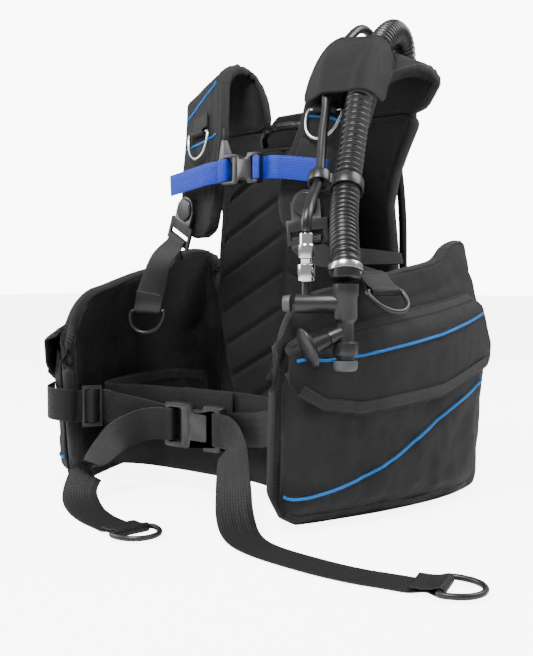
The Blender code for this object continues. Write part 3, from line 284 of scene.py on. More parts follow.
CHROME = moulded("chrome", (0.60, 0.60, 0.62), (0.80, 0.80, 0.81), 0.14, 1.0, 0.1)
STEEL = moulded("steel wire", (0.46, 0.45, 0.44), (0.66, 0.65, 0.63), 0.24, 1.0, 0.2)


# ---------------------------------------------------------------- making pieces


def select_only(piece):
    """The piece becomes the one thing that an operator acts on."""
    for thing in bpy.context.selected_objects:
        thing.select_set(False)
    piece.select_set(True)
    bpy.context.view_layer.objects.active = piece


def from_mesh(name, points, faces, charts=None):
    """A piece from points in the vest's frame; charts places each face corner on the piece's own map."""
    mesh = bpy.data.meshes.new(name)
    mesh.from_pydata(world(points).tolist(), [], faces)
    if charts is not None:
        layer = mesh.uv_layers.new(name="UVMap")
        layer.data.foreach_set("uv", np.asarray(charts, np.float32).ravel())
    mesh.shade_smooth()
    piece = bpy.data.objects.new(name, mesh)
    bpy.context.scene.collection.objects.link(piece)
    return piece


def dressed(piece, finish, body, slot, nodes=(), lining=None):
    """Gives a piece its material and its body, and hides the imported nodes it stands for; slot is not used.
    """
    piece.data.materials.clear()
    piece.data.materials.append(finish.material)
    if lining:
        piece.data.materials.append(lining.material)
    if body:
        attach(piece, body)
    if nodes:
        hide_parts(*nodes)
    return piece


def swept(name, rings, closed=False):
    """A skin over rings of points, with a map that runs along it and round it in metres."""
    rings = np.asarray(rings, float)
    count, around = rings.shape[:2]
    middles = rings.mean(axis=1)
    looped = np.vstack([middles, middles[:1]])
    along = np.r_[0, np.cumsum(np.linalg.norm(np.diff(looped, axis=0), axis=1))]
    girth = np.linalg.norm(rings[0] - np.roll(rings[0], -1, axis=0), axis=1)
    round_it = np.r_[0, np.cumsum(girth)]
    faces, charts = [], []
    for i in range(count if closed else count - 1):
        j = (i + 1) % count
        for k in range(around):
            m = (k + 1) % around
            faces.append((i * around + k, i * around + m, j * around + m, j * around + k))
            low, high = round_it[k], round_it[k + 1]
            charts += [(along[i], low), (along[i], high), (along[i + 1], high), (along[i + 1], low)]
    if not closed:
        faces.append(tuple(range(around))[::-1])
        faces.append(tuple((count - 1) * around + k for k in range(around)))
        charts += [(0, 0)] * (2 * around)
    return from_mesh(name, rings.reshape(-1, 3), faces, charts)


def frames_along(points, closed=False):
    """Two directions across a line at each of its points, turning as little as they can."""
    points = np.asarray(points, float)
    if closed:
        ahead = np.roll(points, -1, axis=0) - np.roll(points, 1, axis=0)
    else:
        ahead = np.gradient(points, axis=0)
    ahead = ahead / np.linalg.norm(ahead, axis=1)[:, None]
    side = unit(np.cross(ahead[0], (0.03, 0.05, 1) if abs(ahead[0][2]) < 0.9 else (1, 0, 0)))
    sides = []
    for direction in ahead:
        side = unit(side - direction * np.dot(side, direction))
        sides.append(side)
    sides = np.array(sides)
    return sides, np.cross(ahead, sides)


def tube(name, points, radius, sides=12, closed=False):
    """A round tube along points, with one radius or one for each point."""
    points = np.asarray(points, float)
    radii = np.broadcast_to(radius, len(points))
    first, second = frames_along(points, closed)
    turns = np.linspace(0, 2 * math.pi, sides, endpoint=False)
    rings = [
        [point + r * (a * math.cos(t) + b * math.sin(t)) for t in turns]
        for point, a, b, r in zip(points, first, second, radii)
    ]
    return swept(name, rings, closed)


def applied(piece):
    """Every modifier of a piece made part of its mesh."""
    select_only(piece)
    for modifier in list(piece.modifiers):
        bpy.ops.object.modifier_apply(modifier=modifier.name)
    piece.select_set(False)
    return piece


def soft_edges(piece, width):
    """Rounds the corners of a hard piece and shades it."""
    modifier = piece.modifiers.new("edges", "BEVEL")
    modifier.width = width
    modifier.segments = 2
    modifier.limit_method = "ANGLE"
    modifier.angle_limit = math.radians(30)
    modifier.use_clamp_overlap = True
    applied(piece)
    select_only(piece)
    bpy.ops.object.shade_smooth_by_angle(angle=math.radians(35))
    piece.select_set(False)
    return piece


def from_node(node, name, width):
    """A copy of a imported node, merged and with rounded corners."""
    piece = frame["nodes"][node].copy()
    piece.data = frame["nodes"][node].data.copy()
    piece.name = name
    bpy.context.scene.collection.objects.link(piece)
    select_only(piece)
    bpy.ops.object.mode_set(mode="EDIT")
    bpy.ops.mesh.select_all(action="SELECT")
    bpy.ops.mesh.remove_doubles(threshold=0.00001)
    bpy.ops.mesh.dissolve_limited(angle_limit=math.radians(2))
    bpy.ops.object.mode_set(mode="OBJECT")
    return soft_edges(piece, width)


# ---------------------------------------------------------------- the vest's measures

# Webbing and cloth
WEB = 0.0015
WAIST_WEB_WIDTH = 0.040
STERNUM_WEB_WIDTH = 0.028
SHOULDER_WEB_WIDTH = 0.038
GAP = 0.0004

# Back assembly, front to back
PAD_Y, PAD_THICK = -0.0440, 0.0150
JACKET_Y, JACKET_THICK = -0.0055, 0.0260
JACKET_BOTTOM, JACKET_TOP = 0.030, 0.469
COLLAR_TOP = 0.490

# Side lobes: the plan of the middle surface, front edge to rear end, and how far it leans in at each height
LOBE_PLAN = (
    (0.163, -0.290),
    (0.183, -0.257),
    (0.200, -0.218),
    (0.226, -0.148),
    (0.246, -0.060),
    (0.246, 0.015),
    (0.234, 0.050),
    (0.206, 0.064),
    (0.176, 0.054),
    (0.163, 0.028),
)
LOBE_LEAN = ((0.0, 0.012), (0.185, 0.0), (0.260, 0.018), (0.330, 0.032))
LOBE_BOTTOM = ((0.0, 0.034), (0.03, 0.010), (0.07, 0.0008), (1.0, 0.0008))
LOBE_THICK = 0.018

# Pocket bags on the lobes, and their flaps
POCKET_SPAN = (0.02, 0.66)
POCKET_BOTTOM, POCKET_UNDER_FLAP = 0.006, 0.030
POCKET_SEAM_OUT, POCKET_OUT, POCKET_MOUTH_OUT = 0.0125, 0.0250, 0.0200
POCKET_CLOTH = 0.003
FLAP_TOP = ((0.0, 0.185), (0.06, 0.203), (0.2, 0.216), (0.66, 0.246))
FLAP_BOTTOM = ((0.0, 0.160), (0.10, 0.126), (0.20, 0.117), (0.45, 0.128), (0.66, 0.160))
FLAP_HINGE_OUT, FLAP_HANG_OUT, FLAP_CLOTH = 0.0125, 0.0295, 0.003

# Cummerbund: plan of one half, from the midline to the side of the backplate
CUMMERBUND_PLAN = (
    (-0.045, -0.2035),
    (0.0, -0.2035),
    (0.050, -0.2045),
    (0.100, -0.2140),
    (0.138, -0.2310),
    (0.163, -0.2230),
    (0.181, -0.1950),
    (0.202, -0.1400),
    (0.217, -0.0700),
    (0.210, -0.0370),
    (0.185, -0.0285),
    (0.160, -0.0275),
)
CUMMERBUND_THICK = 0.004
CUMMERBUND_LOW, CUMMERBUND_HIGH = 0.024, 0.127

# Shoulder yokes: x, y, z of the middle, width, then turn outwards and slope of the outer side, in degrees
LEFT_YOKE = (
    (0.1210, -0.0050, 0.4695, 0.128, 0, 0),
    (0.1320, -0.0040, 0.5050, 0.140, 0, 8),
    (0.1400, -0.0090, 0.5330, 0.142, 2, 22),
    (0.1400, -0.0350, 0.5400, 0.126, 8, 24),
    (0.1300, -0.0680, 0.5220, 0.100, 13, 20),
    (0.1240, -0.0930, 0.4920, 0.090, 13, 8),
    (0.1190, -0.1090, 0.4450, 0.088, 13, 2),
    (0.1020, -0.1190, 0.3950, 0.086, 13, 0),
    (0.0930, -0.1230, 0.3580, 0.080, 13, 0),
    (0.0900, -0.1240, 0.3300, 0.064, 13, 0),
    (0.0890, -0.1240, 0.3170, 0.036, 13, 0),
)
RIGHT_YOKE = (
    (0.1210, -0.0050, 0.4695, 0.128, 0, 0),
    (0.1300, -0.0040, 0.5030, 0.134, 0, 8),
    (0.1400, -0.0060, 0.5290, 0.124, 2, 22),
    (0.1390, -0.0320, 0.5350, 0.112, 8, 24),
    (0.1210, -0.0660, 0.5210, 0.098, 13, 20),
    (0.1000, -0.0910, 0.4900, 0.088, 13, 8),
    (0.0860, -0.1090, 0.4450, 0.086, 13, 2),
    (0.0835, -0.1190, 0.3950, 0.084, 13, 0),
    (0.0825, -0.1230, 0.3580, 0.078, 13, 0),
    (0.0820, -0.1240, 0.3300, 0.062, 13, 0),
    (0.0815, -0.1240, 0.3170, 0.036, 13, 0),
)
YOKE_THICK = 0.018
STRAP_TURN = math.radians(13)

# Rings
RING_WIRE = 0.0022
RING_WIDTH, RING_DROP = 0.050, 0.034
STEEL_RING = 0.044, 0.037, 0.0020
PULL_RING = 0.048, 0.030
MOULDED_WIRE_EXTRA = 0.0006
TAIL_ON_FLOOR = WEB / 2
RING_ON_FLOOR = WEB * 1.5 + RING_WIRE

# Buckles
WAIST_BUCKLE_AT = (-0.003, -0.2245, 0.084)
WAIST_BUCKLE_SIZE = (0.090, 0.054, 0.013)
STERNUM_BUCKLE_AT = (0.011, -0.1520, 0.398)
STERNUM_BUCKLE_SIZE = (0.058, 0.037, 0.010)

# Swivels on the shoulder pads: tilt is how far the frame hangs outwards
SWIVELS = {"left": ((0.099, -0.1395, 0.351), 4), "right": ((-0.099, -0.1375, 0.354), 25)}


# Hoses
CORRUGATED_RADIUS = 0.0155
LP_RADIUS = 0.0055
CORRUGATED_ROUTE = (
    (0.1260, 0.0500, 0.5120),
    (0.1265, 0.0505, 0.5330),
    (0.1300, 0.0420, 0.5560),
    (0.1370, 0.0200, 0.5720),
    (0.1450, -0.0120, 0.5735),
    (0.1530, -0.0450, 0.5595),
    (0.1600, -0.0765, 0.5370),
    (0.1640, -0.1030, 0.5100),
    (0.1660, -0.1240, 0.4770),
    (0.1700, -0.1420, 0.4350),
    (0.1750, -0.1590, 0.3960),
    (0.1840, -0.1810, 0.3600),
    (0.1980, -0.2070, 0.3260),
    (0.2200, -0.2400, 0.2960),
    (0.2330, -0.2580, 0.2760),
    (0.2356, -0.2615, 0.2608),
)
LP_ROUTE = (
    (0.1999, -0.2793, 0.3090),
    (0.1999, -0.2793, 0.3180),
    (0.1970, -0.2720, 0.3300),
    (0.1860, -0.2500, 0.3450),
    (0.1720, -0.2230, 0.3570),
    (0.1600, -0.1980, 0.3720),
    (0.1490, -0.1790, 0.3980),
    (0.1390, -0.1610, 0.4280),
    (0.1310, -0.1430, 0.4600),
    (0.1220, -0.1290, 0.4920),
    (0.1180, -0.1110, 0.5220),
    (0.1130, -0.0790, 0.5490),
    (0.1090, -0.0350, 0.5780),
    (0.1050, 0.0000, 0.5770),
    (0.1000, 0.0300, 0.5560),
    (0.0980, 0.0460, 0.5250),
    (0.1020, 0.0560, 0.4800),
    (0.1100, 0.0620, 0.4200),
    (0.1160, 0.0650, 0.3500),
    (0.1180, 0.0650, 0.2620),
)


# Inflator
INFLATOR_AT = (0.2360, -0.2620)

# Tank side
TANK_BAND_HEIGHT, TANK_BAND_Z = 0.050, 0.250
TANK_BAND_THICK = 0.0025
TANK_BAND_HALF = (
    (0.0, 0.1195),
    (0.0500, 0.1120),
    (0.0800, 0.0880),
    (0.0880, 0.0520),
    (0.0780, 0.0240),
    (0.0705, 0.0020),
    (0.0690, -0.0200),
    (0.0600, -0.0305),
    (0.0480, -0.0315),
    (0.0, -0.0315),
)
TANK_BAND_LAP = ((-0.050, 0.1165), (-0.020, 0.1235), (0.010, 0.1245), (0.034, 0.1245))


def ring_loop(bar, away, up):
    """The end of a strap that reaches a ring's bar, turns round it and is sewn back on itself."""
    bar, away, up = np.array(bar, float), unit(away), unit(up)
    turn = RING_WIRE + GAP + WEB
    close = WEB / 2 + GAP
    flat = [(0.012, -close), (0.0055, -0.6 * turn)]
    arc = [(turn * math.cos(a), turn * math.sin(a)) for a in np.radians([-90, -135, -180, -225, -270])]
    back = [(0.0055, 0.6 * turn), (0.012, close), (0.026, close)]
    return np.array([bar + away * a + up * b for a, b in flat + arc + back])


LOBE_LINE = smooth(LOBE_PLAN, 161)


def on_lobe(side, t, z, out):
    """A point by a lobe: t runs from its front edge, 0, to its rear end, 1, and out is from its middle."""
    spot = t * (len(LOBE_LINE) - 1)
    i = min(int(spot), len(LOBE_LINE) - 2)
    tangent = LOBE_LINE[i + 1] - LOBE_LINE[i]
    x, y = LOBE_LINE[i] + tangent * (spot - i)
    outward = unit((tangent[1], -tangent[0]))
    reach = out - np.interp(z, *zip(*LOBE_LEAN))
    return Vector((side * (x + outward[0] * reach), y + outward[1] * reach, z))


def yoke_frames(side):
    """Middle, across, and front-facing directions, and the width, at even steps along a yoke."""
    stations = LEFT_YOKE if side > 0 else RIGHT_YOKE
    rows = smooth(stations, 31)
    frames = []
    for i, (x, y, z, width, turn, slope) in enumerate(rows):
        before, after = rows[max(i - 1, 0)][:3], rows[min(i + 1, len(rows) - 1)][:3]
        turn, slope = math.radians(turn), math.radians(slope)
        across = unit(
            (math.cos(turn) * math.cos(slope), math.sin(turn) * math.cos(slope), -math.sin(slope))
        )
        outward = unit(np.cross(after - before, across))
        frames.append((np.array((x, y, z)), across, outward, width))
    return frames


def on_yoke(side, s, a, n):
    """A point by a yoke: s from its back edge, 0, to its front end, 1; a across it; n out from its middle."""
    frames = yoke_frames(side)
    spot = s * (len(frames) - 1)
    i = min(int(spot), len(frames) - 2)
    middle = frames[i][0] + (frames[i + 1][0] - frames[i][0]) * (spot - i)
    x, y, z = middle + frames[i][1] * a + frames[i][2] * n
    return Vector((side * x, y, z))


def swivel_matrix(name):
    """The place and turn of a swivel's frame."""
    side = 1 if name == "left" else -1
    at, tilt = SWIVELS[name]
    turn = Matrix.Rotation(side * STRAP_TURN, 4, "Z")
    return Matrix.Translation(at) @ turn @ Matrix.Rotation(-side * math.radians(tilt), 4, "Y")


def frame_turn(matrix):
    """Webbing round the frame's lower bar: up behind it, through the slot and down in front."""
    spots = (
        (0.0052, -0.0500), (0.0048, -0.0440), (0.0032, -0.0395), (0.0008, -0.0380), (-0.0016, -0.0395),
        (-0.0034, -0.0440), (-0.0040, -0.0500),
    )
    return np.array([matrix @ Vector((0, y, z)) for y, z in spots])


def ladder_turn(at, length, thick, side):
    """Webbing round a buckle's end bar: behind it, through its eye and back out in front."""
    x = length / 2
    bar, slot = 0.075 * length, 0.12 * length
    inner = x - bar - slot / 2
    off = thick / 2 + WEB / 2 + GAP
    spots = (
        (x + 0.0040, off + 0.0003),
        (x - 0.5 * bar, off + 0.0003),
        (inner + 0.0008, off - 0.0012),
        (inner, 0.0),
        (inner + 0.0008, -off + 0.0012),
        (x - 0.5 * bar, -off - 0.0003),
        (x + 0.0040, -off - 0.0003),
    )
    ax, ay, az = at
    return np.array([(ax + side * a, ay + b, az) for a, b in spots])


def woven(at, along):
    """The strap's way through the tri-glide: behind its end bars and over its middle bar."""
    at, along = np.array(at, float), unit(along)
    out = unit(np.cross(along, (0, 0, 1)))
    if out[1] > 0:
        out = -out
    spots = ((-0.018, -0.0030), (-0.0096, -0.0030), (-0.0027, 0.0030), (0.0027, 0.0030), (0.0096, -0.0030),
             (0.018, -0.0030))
    return np.array([at + along * a + out * b for a, b in spots])


def across_section(frame, before, after, route):
    """Where a hose passes a section of the yoke: across it and out from it."""
    middle, across, outward, _ = frame
    forward = unit(after - before)
    spot = min(route, key=lambda p: abs(np.dot(p - middle, forward)) + 0.2 * np.linalg.norm(p - middle))
    return np.array((np.dot(spot - middle, across), np.dot(spot - middle, outward)))


# ---------------------------------------------------------------- soft panels


def spread(length, rim, step):
    """Sample places along a length as shares of it, closer together at both ends where the rim rounds off."""
    near = np.array([0, 0.06, 0.22, 0.55]) * rim
    count = max(2, round((length - 2 * rim) / step))
    return np.r_[near, np.linspace(rim, length - rim, count + 1), length - near[::-1]] / length


def crumple(point, size, depth):
    """Soft unevenness of cloth at a place."""
    place = Vector(point) / size
    return depth * (noise.noise(place) + 0.5 * noise.noise(place * 2.3) + 0.22 * noise.noise(place * 5.1))


def to_line(x, y, line):
    """How far a place on a panel's map is from a line of corners on it."""
    nearest = 1e9
    for (ax, ay), (bx, by) in zip(line[:-1], line[1:]):
        dx, dy = bx - ax, by - ay
        share = max(0.0, min(1.0, ((x - ax) * dx + (y - ay) * dy) / (dx * dx + dy * dy)))
        nearest = min(nearest, math.hypot(x - ax - dx * share, y - ay - dy * share))
    return nearest


class Panel:
    """A soft panel: a middle surface over (u, v), a thickness that rounds off at its rim, and relief on it.

    outward is 1 where the outer side lies to the right-hand side of u and v, and -1 on mirrored panels.
    """

    def __init__(
            self, name, surface, size, thick, rim, step=0.005, outward=1, relief=None, inner=None,
            round_off=0.0
    ):
        self.size, self.outward = size, outward
        self.rim, self.half = rim, thick / 2
        width, height = size
        self.us, self.vs = spread(width, rim, step), spread(height, rim, step)
        count, rows = len(self.us), len(self.vs)
        middle = np.empty((count, rows, 3))
        half = np.empty((count, rows))
        front = np.zeros((count, rows))
        back = np.zeros((count, rows))
        for i, u in enumerate(self.us):
            for j, v in enumerate(self.vs):
                level = min(v, 1 - v) * height
                inset = 0.0
                if level < round_off:
                    inset = (round_off - math.sqrt(round_off**2 - (round_off - level) ** 2)) / width
                middle[i, j] = surface(inset + u * (1 - 2 * inset), v)
                edge = min(min(u, 1 - u) * width, level)
                share = min(1.0, edge / rim)
                half[i, j] = self.half * math.sqrt(max(0.0, 1 - (1 - share) ** 2))
                cover = min(1.0, edge / (2 * rim)) ** 0.7
                if relief:
                    front[i, j] = relief(u * width, v * height, middle[i, j]) * cover
                if inner:
                    back[i, j] = inner(u * width, v * height, middle[i, j]) * cover
        normal = np.cross(np.gradient(middle, axis=0), np.gradient(middle, axis=1)) * outward
        self.normal = normal / np.maximum(np.linalg.norm(normal, axis=2), 1e-12)[..., None]
        self.front = middle + self.normal * (half + front)[..., None]
        self.back = middle - self.normal * (half + back)[..., None]
        self.front[0], self.front[-1] = middle[0], middle[-1]
        self.front[:, 0], self.front[:, -1] = middle[:, 0], middle[:, -1]
        self.piece = self.skin(name, count, rows)

    def skin(self, name, count, rows):
        """One closed mesh: the outer side, and the inner side that shares its rim."""
        outer = np.arange(count * rows).reshape(count, rows)
        inner = outer.copy()
        fresh = np.arange((count - 2) * (rows - 2)).reshape(count - 2, rows - 2)
        inner[1:-1, 1:-1] = count * rows + fresh
        points = np.vstack([self.front.reshape(-1, 3), self.back[1:-1, 1:-1].reshape(-1, 3)])
        x, y = np.meshgrid(self.us * self.size[0], self.vs * self.size[1], indexing="ij")
        chart = np.stack([x, y], axis=-1)
        faces, charts = [], []
        for layer, turn in ((outer, self.outward), (inner, -self.outward)):
            corners = [(0, 0), (1, 0), (1, 1), (0, 1)]
            if turn < 0:
                corners = corners[::-1]
            picks = [layer[a : count - 1 + a, b : rows - 1 + b] for a, b in corners]
            maps = [chart[a : count - 1 + a, b : rows - 1 + b] for a, b in corners]
            faces += np.stack(picks, axis=-1).reshape(-1, 4).tolist()
            charts.append(np.stack(maps, axis=2).reshape(-1, 2))
        piece = from_mesh(name, points, faces, np.vstack(charts))
        lined = np.zeros(len(faces), np.int32)
        lined[len(faces) // 2 :] = 1
        self.lined = lined
        return piece

    def dress(self, finish, body, slot, nodes=(), lining=None):
        dressed(self.piece, finish, body, slot, nodes, lining)
        if lining:
            self.piece.data.polygons.foreach_set("material_index", self.lined)
        return self.piece

    def at(self, u, v, side=1):
        """The place on the outer side (1) or the inner side (-1), and the direction away from the panel."""
        i = min(max(int(np.searchsorted(self.us, u)) - 1, 0), len(self.us) - 2)
        j = min(max(int(np.searchsorted(self.vs, v)) - 1, 0), len(self.vs) - 2)
        p = (u - self.us[i]) / (self.us[i + 1] - self.us[i])
        q = (v - self.vs[j]) / (self.vs[j + 1] - self.vs[j])
        grid = self.front if side > 0 else self.back

        def read(values):
            low = values[i, j] * (1 - p) + values[i + 1, j] * p
            return low * (1 - q) + (values[i, j + 1] * (1 - p) + values[i + 1, j + 1] * p) * q

        return read(grid), unit(read(self.normal)) * side

    def path(self, corners, side=1, lift=0.0, step=0.003, bent=True):
        """Places and directions along a line over the panel, from its corners in metres on its map."""
        corners = np.asarray(corners, float)
        count = max(3, round(length_of(corners) / step))
        flat = smooth(corners, count) if bent else even(corners, count)
        spots = [self.at(*np.clip(spot / self.size, 0, 1), side) for spot in flat]
        places = np.array([spot[0] for spot in spots])
        ways = np.array([spot[1] for spot in spots])
        return places + ways * lift, ways


SEAMS = {}
STITCH_PITCH = 0.0036
STITCH_GUIDE = 0.004
STITCH_HALF_WIDTH, STITCH_HEIGHT = 0.00036, 0.00030


def sew(body, places, ways, lift=0.0001):
    """A row of lock stitches on a line; they are made at the end, one mesh to a body."""
    line = even(np.hstack([places, ways]), max(3, round(length_of(places) / STITCH_PITCH)))
    for before, after in zip(line[:-1], line[1:]):
        middle = (before + after) / 2
        SEAMS.setdefault(body, []).append(
            (middle[:3] + middle[3:] * lift, after[:3] - before[:3], middle[3:])
        )


def sew_straight(body, panel, line, side):
    """Stitches on a line of straight stretches over a panel."""
    sew(body, *panel.path(line, side, 0.0, STITCH_GUIDE, bent=False))


def make_seams():
    """Each stitch is a short spindle of thread, flat on the cloth."""
    for body, rows in SEAMS.items():
        points, faces = [], []
        for at, along, out in rows:
            ahead = unit(along) * np.linalg.norm(along) * 0.36
            away = unit(out) * STITCH_HEIGHT
            side = unit(np.cross(along, out)) * STITCH_HALF_WIDTH
            first = len(points)
            points += [at - ahead, at + ahead, at + side, at - side, at + away, at - away]
            for a, b in ((2, 4), (4, 3), (3, 5), (5, 2)):
                faces.append((first, first + a, first + b))
                faces.append((first + 1, first + b, first + a))
        piece = from_mesh(f"{body}_stitches", points, faces)
        dressed(piece, THREAD, body, "webbing")


def inside(panel, edge, distance):
    """A line on the panel's map that keeps a distance from its rim."""
    width, height = panel.size
    return [
        (min(max(x, distance), width - distance), min(max(y, distance), height - distance)) for x, y in edge
    ]


def all_round(panel):
    """The panel's whole rim on its map, from the middle of its lower edge."""
    width, height = panel.size
    return [(width / 2, 0), (width, 0), (width, height), (0, height), (0, 0), (width / 2, 0)]


def bind(name, panel, edge, body, wrap, proud=0.0007, slot="nylon"):
    """Tape folded round a panel's rim and sewn down along both its edges."""
    places, ways = panel.path(edge, step=STITCH_GUIDE, bent=False)
    closed = np.linalg.norm(places[0] - places[-1]) < 1e-6
    if closed:
        places, ways = places[:-1], ways[:-1]
    rings = []
    count = len(places)
    for i in range(count):
        before = places[(i - 1) % count if closed else max(i - 1, 0)]
        after = places[(i + 1) % count if closed else min(i + 1, count - 1)]
        along = unit(after - before)
        away = unit(np.cross(along, ways[i])) * panel.outward
        over = unit(np.cross(away, along)) * panel.outward
        ring = []
        for angle in np.radians(np.linspace(-wrap, wrap, 9)):
            reach = (panel.rim + proud) * math.cos(angle) - panel.rim
            ring.append(places[i] + away * reach + over * (panel.half + proud) * math.sin(angle))
        for angle in np.radians(np.linspace(wrap, -wrap, 3)):
            reach = (panel.rim - 0.0012) * math.cos(angle) - panel.rim
            ring.append(places[i] + away * reach + over * (panel.half - 0.0012) * math.sin(angle))
        rings.append(ring)
    piece = swept(name, rings, closed)
    outside_in(piece)
    dressed(piece, TAPE, body, slot)
    line = inside(panel, edge, panel.rim * (1 - math.cos(math.radians(wrap))) + 0.0016)
    for side in (1, -1):
        sew_straight(body, panel, line, side)


def outside_in(piece):
    """Turns every face of a closed piece to look outwards."""
    select_only(piece)
    bpy.ops.object.mode_set(mode="EDIT")
    bpy.ops.mesh.select_all(action="SELECT")
    bpy.ops.mesh.normals_make_consistent(inside=False)
    bpy.ops.object.mode_set(mode="OBJECT")
    piece.select_set(False)


PIPING_RADIUS, PIPING_LIFT, PIPING_SEAM = 0.0017, 0.0006, 0.0032


def pipe(name, panel, line, body):
    """Piping let into a seam, with a row of stitches along each side of it."""
    places, ways = panel.path(line, 1, PIPING_LIFT)
    dressed(tube(name, places, PIPING_RADIUS, 10), PIPING, body, "blue_webbing")
    across = np.cross(np.gradient(places, axis=0), ways)
    across /= np.linalg.norm(across, axis=1)[:, None]
    for side in (-1, 1):
        sew(body, places + across * side * PIPING_SEAM - ways * PIPING_LIFT, ways)


def band(name, panel, line, width, body, finish=TAPE, lift=0.0005):
    """A flat band of cloth sewn onto a panel along a line."""
    places, ways = panel.path(line, 1, lift, STITCH_GUIDE)
    across = np.cross(np.gradient(places, axis=0), ways)
    across /= np.linalg.norm(across, axis=1)[:, None]
    piece = ribbon(name, places, across, width, 0.0012)
    dressed(piece, finish, body, "nylon")
    for side in (-1, 1):
        sew(body, places + across * side * (width / 2 - 0.0022) + ways * 0.0006, ways)


# The section of a strip of webbing or tape, as shares of its half width and half thickness
RIBBON = (
    (1, 0), (0.985, 0.62), (0.94, 0.96), (0.4, 1.0), (-0.4, 1.0), (-0.94, 0.96), (-0.985, 0.62), (-1, 0),
    (-0.985, -0.62), (-0.94, -0.96), (-0.4, -1.0), (0.4, -1.0), (0.94, -0.96), (0.985, -0.62),
)


def ribbon(name, points, across, width, thick):
    """A flat strip with soft edges along points."""
    points, across = np.asarray(points, float), np.asarray(across, float)
    along = np.gradient(points, axis=0)
    rings = []
    for i, at in enumerate(points):
        side = unit(across[i] - unit(along[i]) * np.dot(across[i], unit(along[i])))
        out = unit(np.cross(along[i], side))
        rings.append([at + side * width / 2 * a + out * thick / 2 * b for a, b in RIBBON])
    piece = swept(name, rings)
    outside_in(piece)
    return piece


# ---------------------------------------------------------------- webbing and rings

VEST = "vest"
FINISHES = {
    "webbing": (WEBBING, "webbing"),
    "blue webbing": (BLUE, "blue_webbing"),
    "moulded plastic": (PLASTIC, "moulded_plastic"),
    "steel": (STEEL, "steel"),
    "rubber": (RUBBER, "rubber"),
}


# Webbing with one end at a moving piece: the body, where it starts to follow and where it is fast
BENDS = {
    "waist_strap_right": ("waist_release", (-0.135, -0.269, 0.100), (-0.055, -0.2185, 0.086)),
    "sternum_strap_right": ("sternum_release", (-0.095, -0.143, 0.392), (-0.022, -0.152, 0.398)),
    "left_shoulder_webbing": ("left_swivel", (0.150, -0.098, 0.288), (0.104, -0.135, 0.308)),
    "left_pull_tail": ("left_swivel", (0.170, -0.173, 0.277), (0.104, -0.146, 0.306)),
    "right_shoulder_webbing": ("right_swivel", (-0.170, -0.095, 0.294), (-0.115, -0.130, 0.312)),
}


def strap(name, finish, points, across, width, carrier=VEST, thickness=WEB):
    """Webbing along a route; webbing listed in BENDS is put on no body."""
    points, across = np.array(points, float), np.array(across, float)
    if across.ndim == 1:
        across = np.tile(across, (len(points), 1))
    across = across / np.linalg.norm(across, axis=1)[:, None]
    length = length_of(points)
    line = smooth(np.hstack([points, across]), max(40, round(length / 0.0022)))
    piece = ribbon(f"{name}_web", line[:, :3], line[:, 3:], width, thickness)
    look, slot = FINISHES[finish]
    if name in BENDS:
        other, start, end = BENDS[name]
        dressed(piece, look, None, slot, [name])
        tuple(world(start))
        tuple(world(end))
        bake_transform(piece)
        return piece
    return dressed(piece, look, carrier, slot, [name])


def ring(name, bar, along, drop, finish, carrier, width=RING_WIDTH, depth=RING_DROP, wire=RING_WIRE):
    """A D-ring: a straight bar, and a bow that reaches away from it."""
    along, drop, bar = unit(along), unit(drop), np.array(bar, float)
    points = [bar + along * width * share for share in np.linspace(-0.47, 0.47, 9)]
    for angle in np.linspace(0, math.pi, 33)[1:-1]:
        points.append(bar + along * width / 2 * math.cos(angle) + drop * depth * math.sin(angle) ** 0.8)
    loop = smooth([*points, points[0]], 97)[:-1]
    look, slot = FINISHES[finish]
    if finish == "moulded plastic":
        wire += MOULDED_WIRE_EXTRA
    return dressed(tube(f"{name}_loop", loop, wire, 14, closed=True), look, carrier, slot, [name])


def hard(node, finish, body, slot, width):
    """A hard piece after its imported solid, with rounded corners and a real surface."""
    return dressed(from_node(node, f"{node}_piece", width), finish, body, slot, [node])


def block(low, high, corner=0.0):
    """A block between two corners, its four edges along Y rounded."""
    low, high = world(low), world(high)
    bpy.ops.mesh.primitive_cube_add(size=1, location=tuple((low + high) / 2))
    piece = bpy.context.object
    piece.scale = tuple(high - low)
    bpy.ops.object.transform_apply(location=True, rotation=True, scale=True)
    if corner:
        weights = piece.data.attributes.new("bevel_weight_edge", "FLOAT", "EDGE")
        for edge in piece.data.edges:
            a, b = (piece.data.vertices[i].co for i in edge.vertices)
            weights.data[edge.index].value = 1.0 if abs(a.y - b.y) > 1e-6 else 0.0
        modifier = piece.modifiers.new("corners", "BEVEL")
        modifier.limit_method = "WEIGHT"
        modifier.width = corner
        modifier.segments = 6
        applied(piece)
    return piece


def drum(at, radius, depth):
    """A cylinder along Y."""
    bpy.ops.mesh.primitive_cylinder_add(
        vertices=40, radius=radius, depth=depth, location=tuple(world(at)), rotation=(math.pi / 2, 0, 0)
    )
    bpy.ops.object.transform_apply(location=True, rotation=True, scale=True)
    return bpy.context.object


def combine(piece, others, operation):
    """Joins other blocks to a piece, or cuts them out of it."""
    for other in others:
        modifier = piece.modifiers.new("shape", "BOOLEAN")
        modifier.operation = operation
        modifier.solver = "EXACT"
        modifier.object = other
        applied(piece)
        bpy.data.objects.remove(other)
    return piece


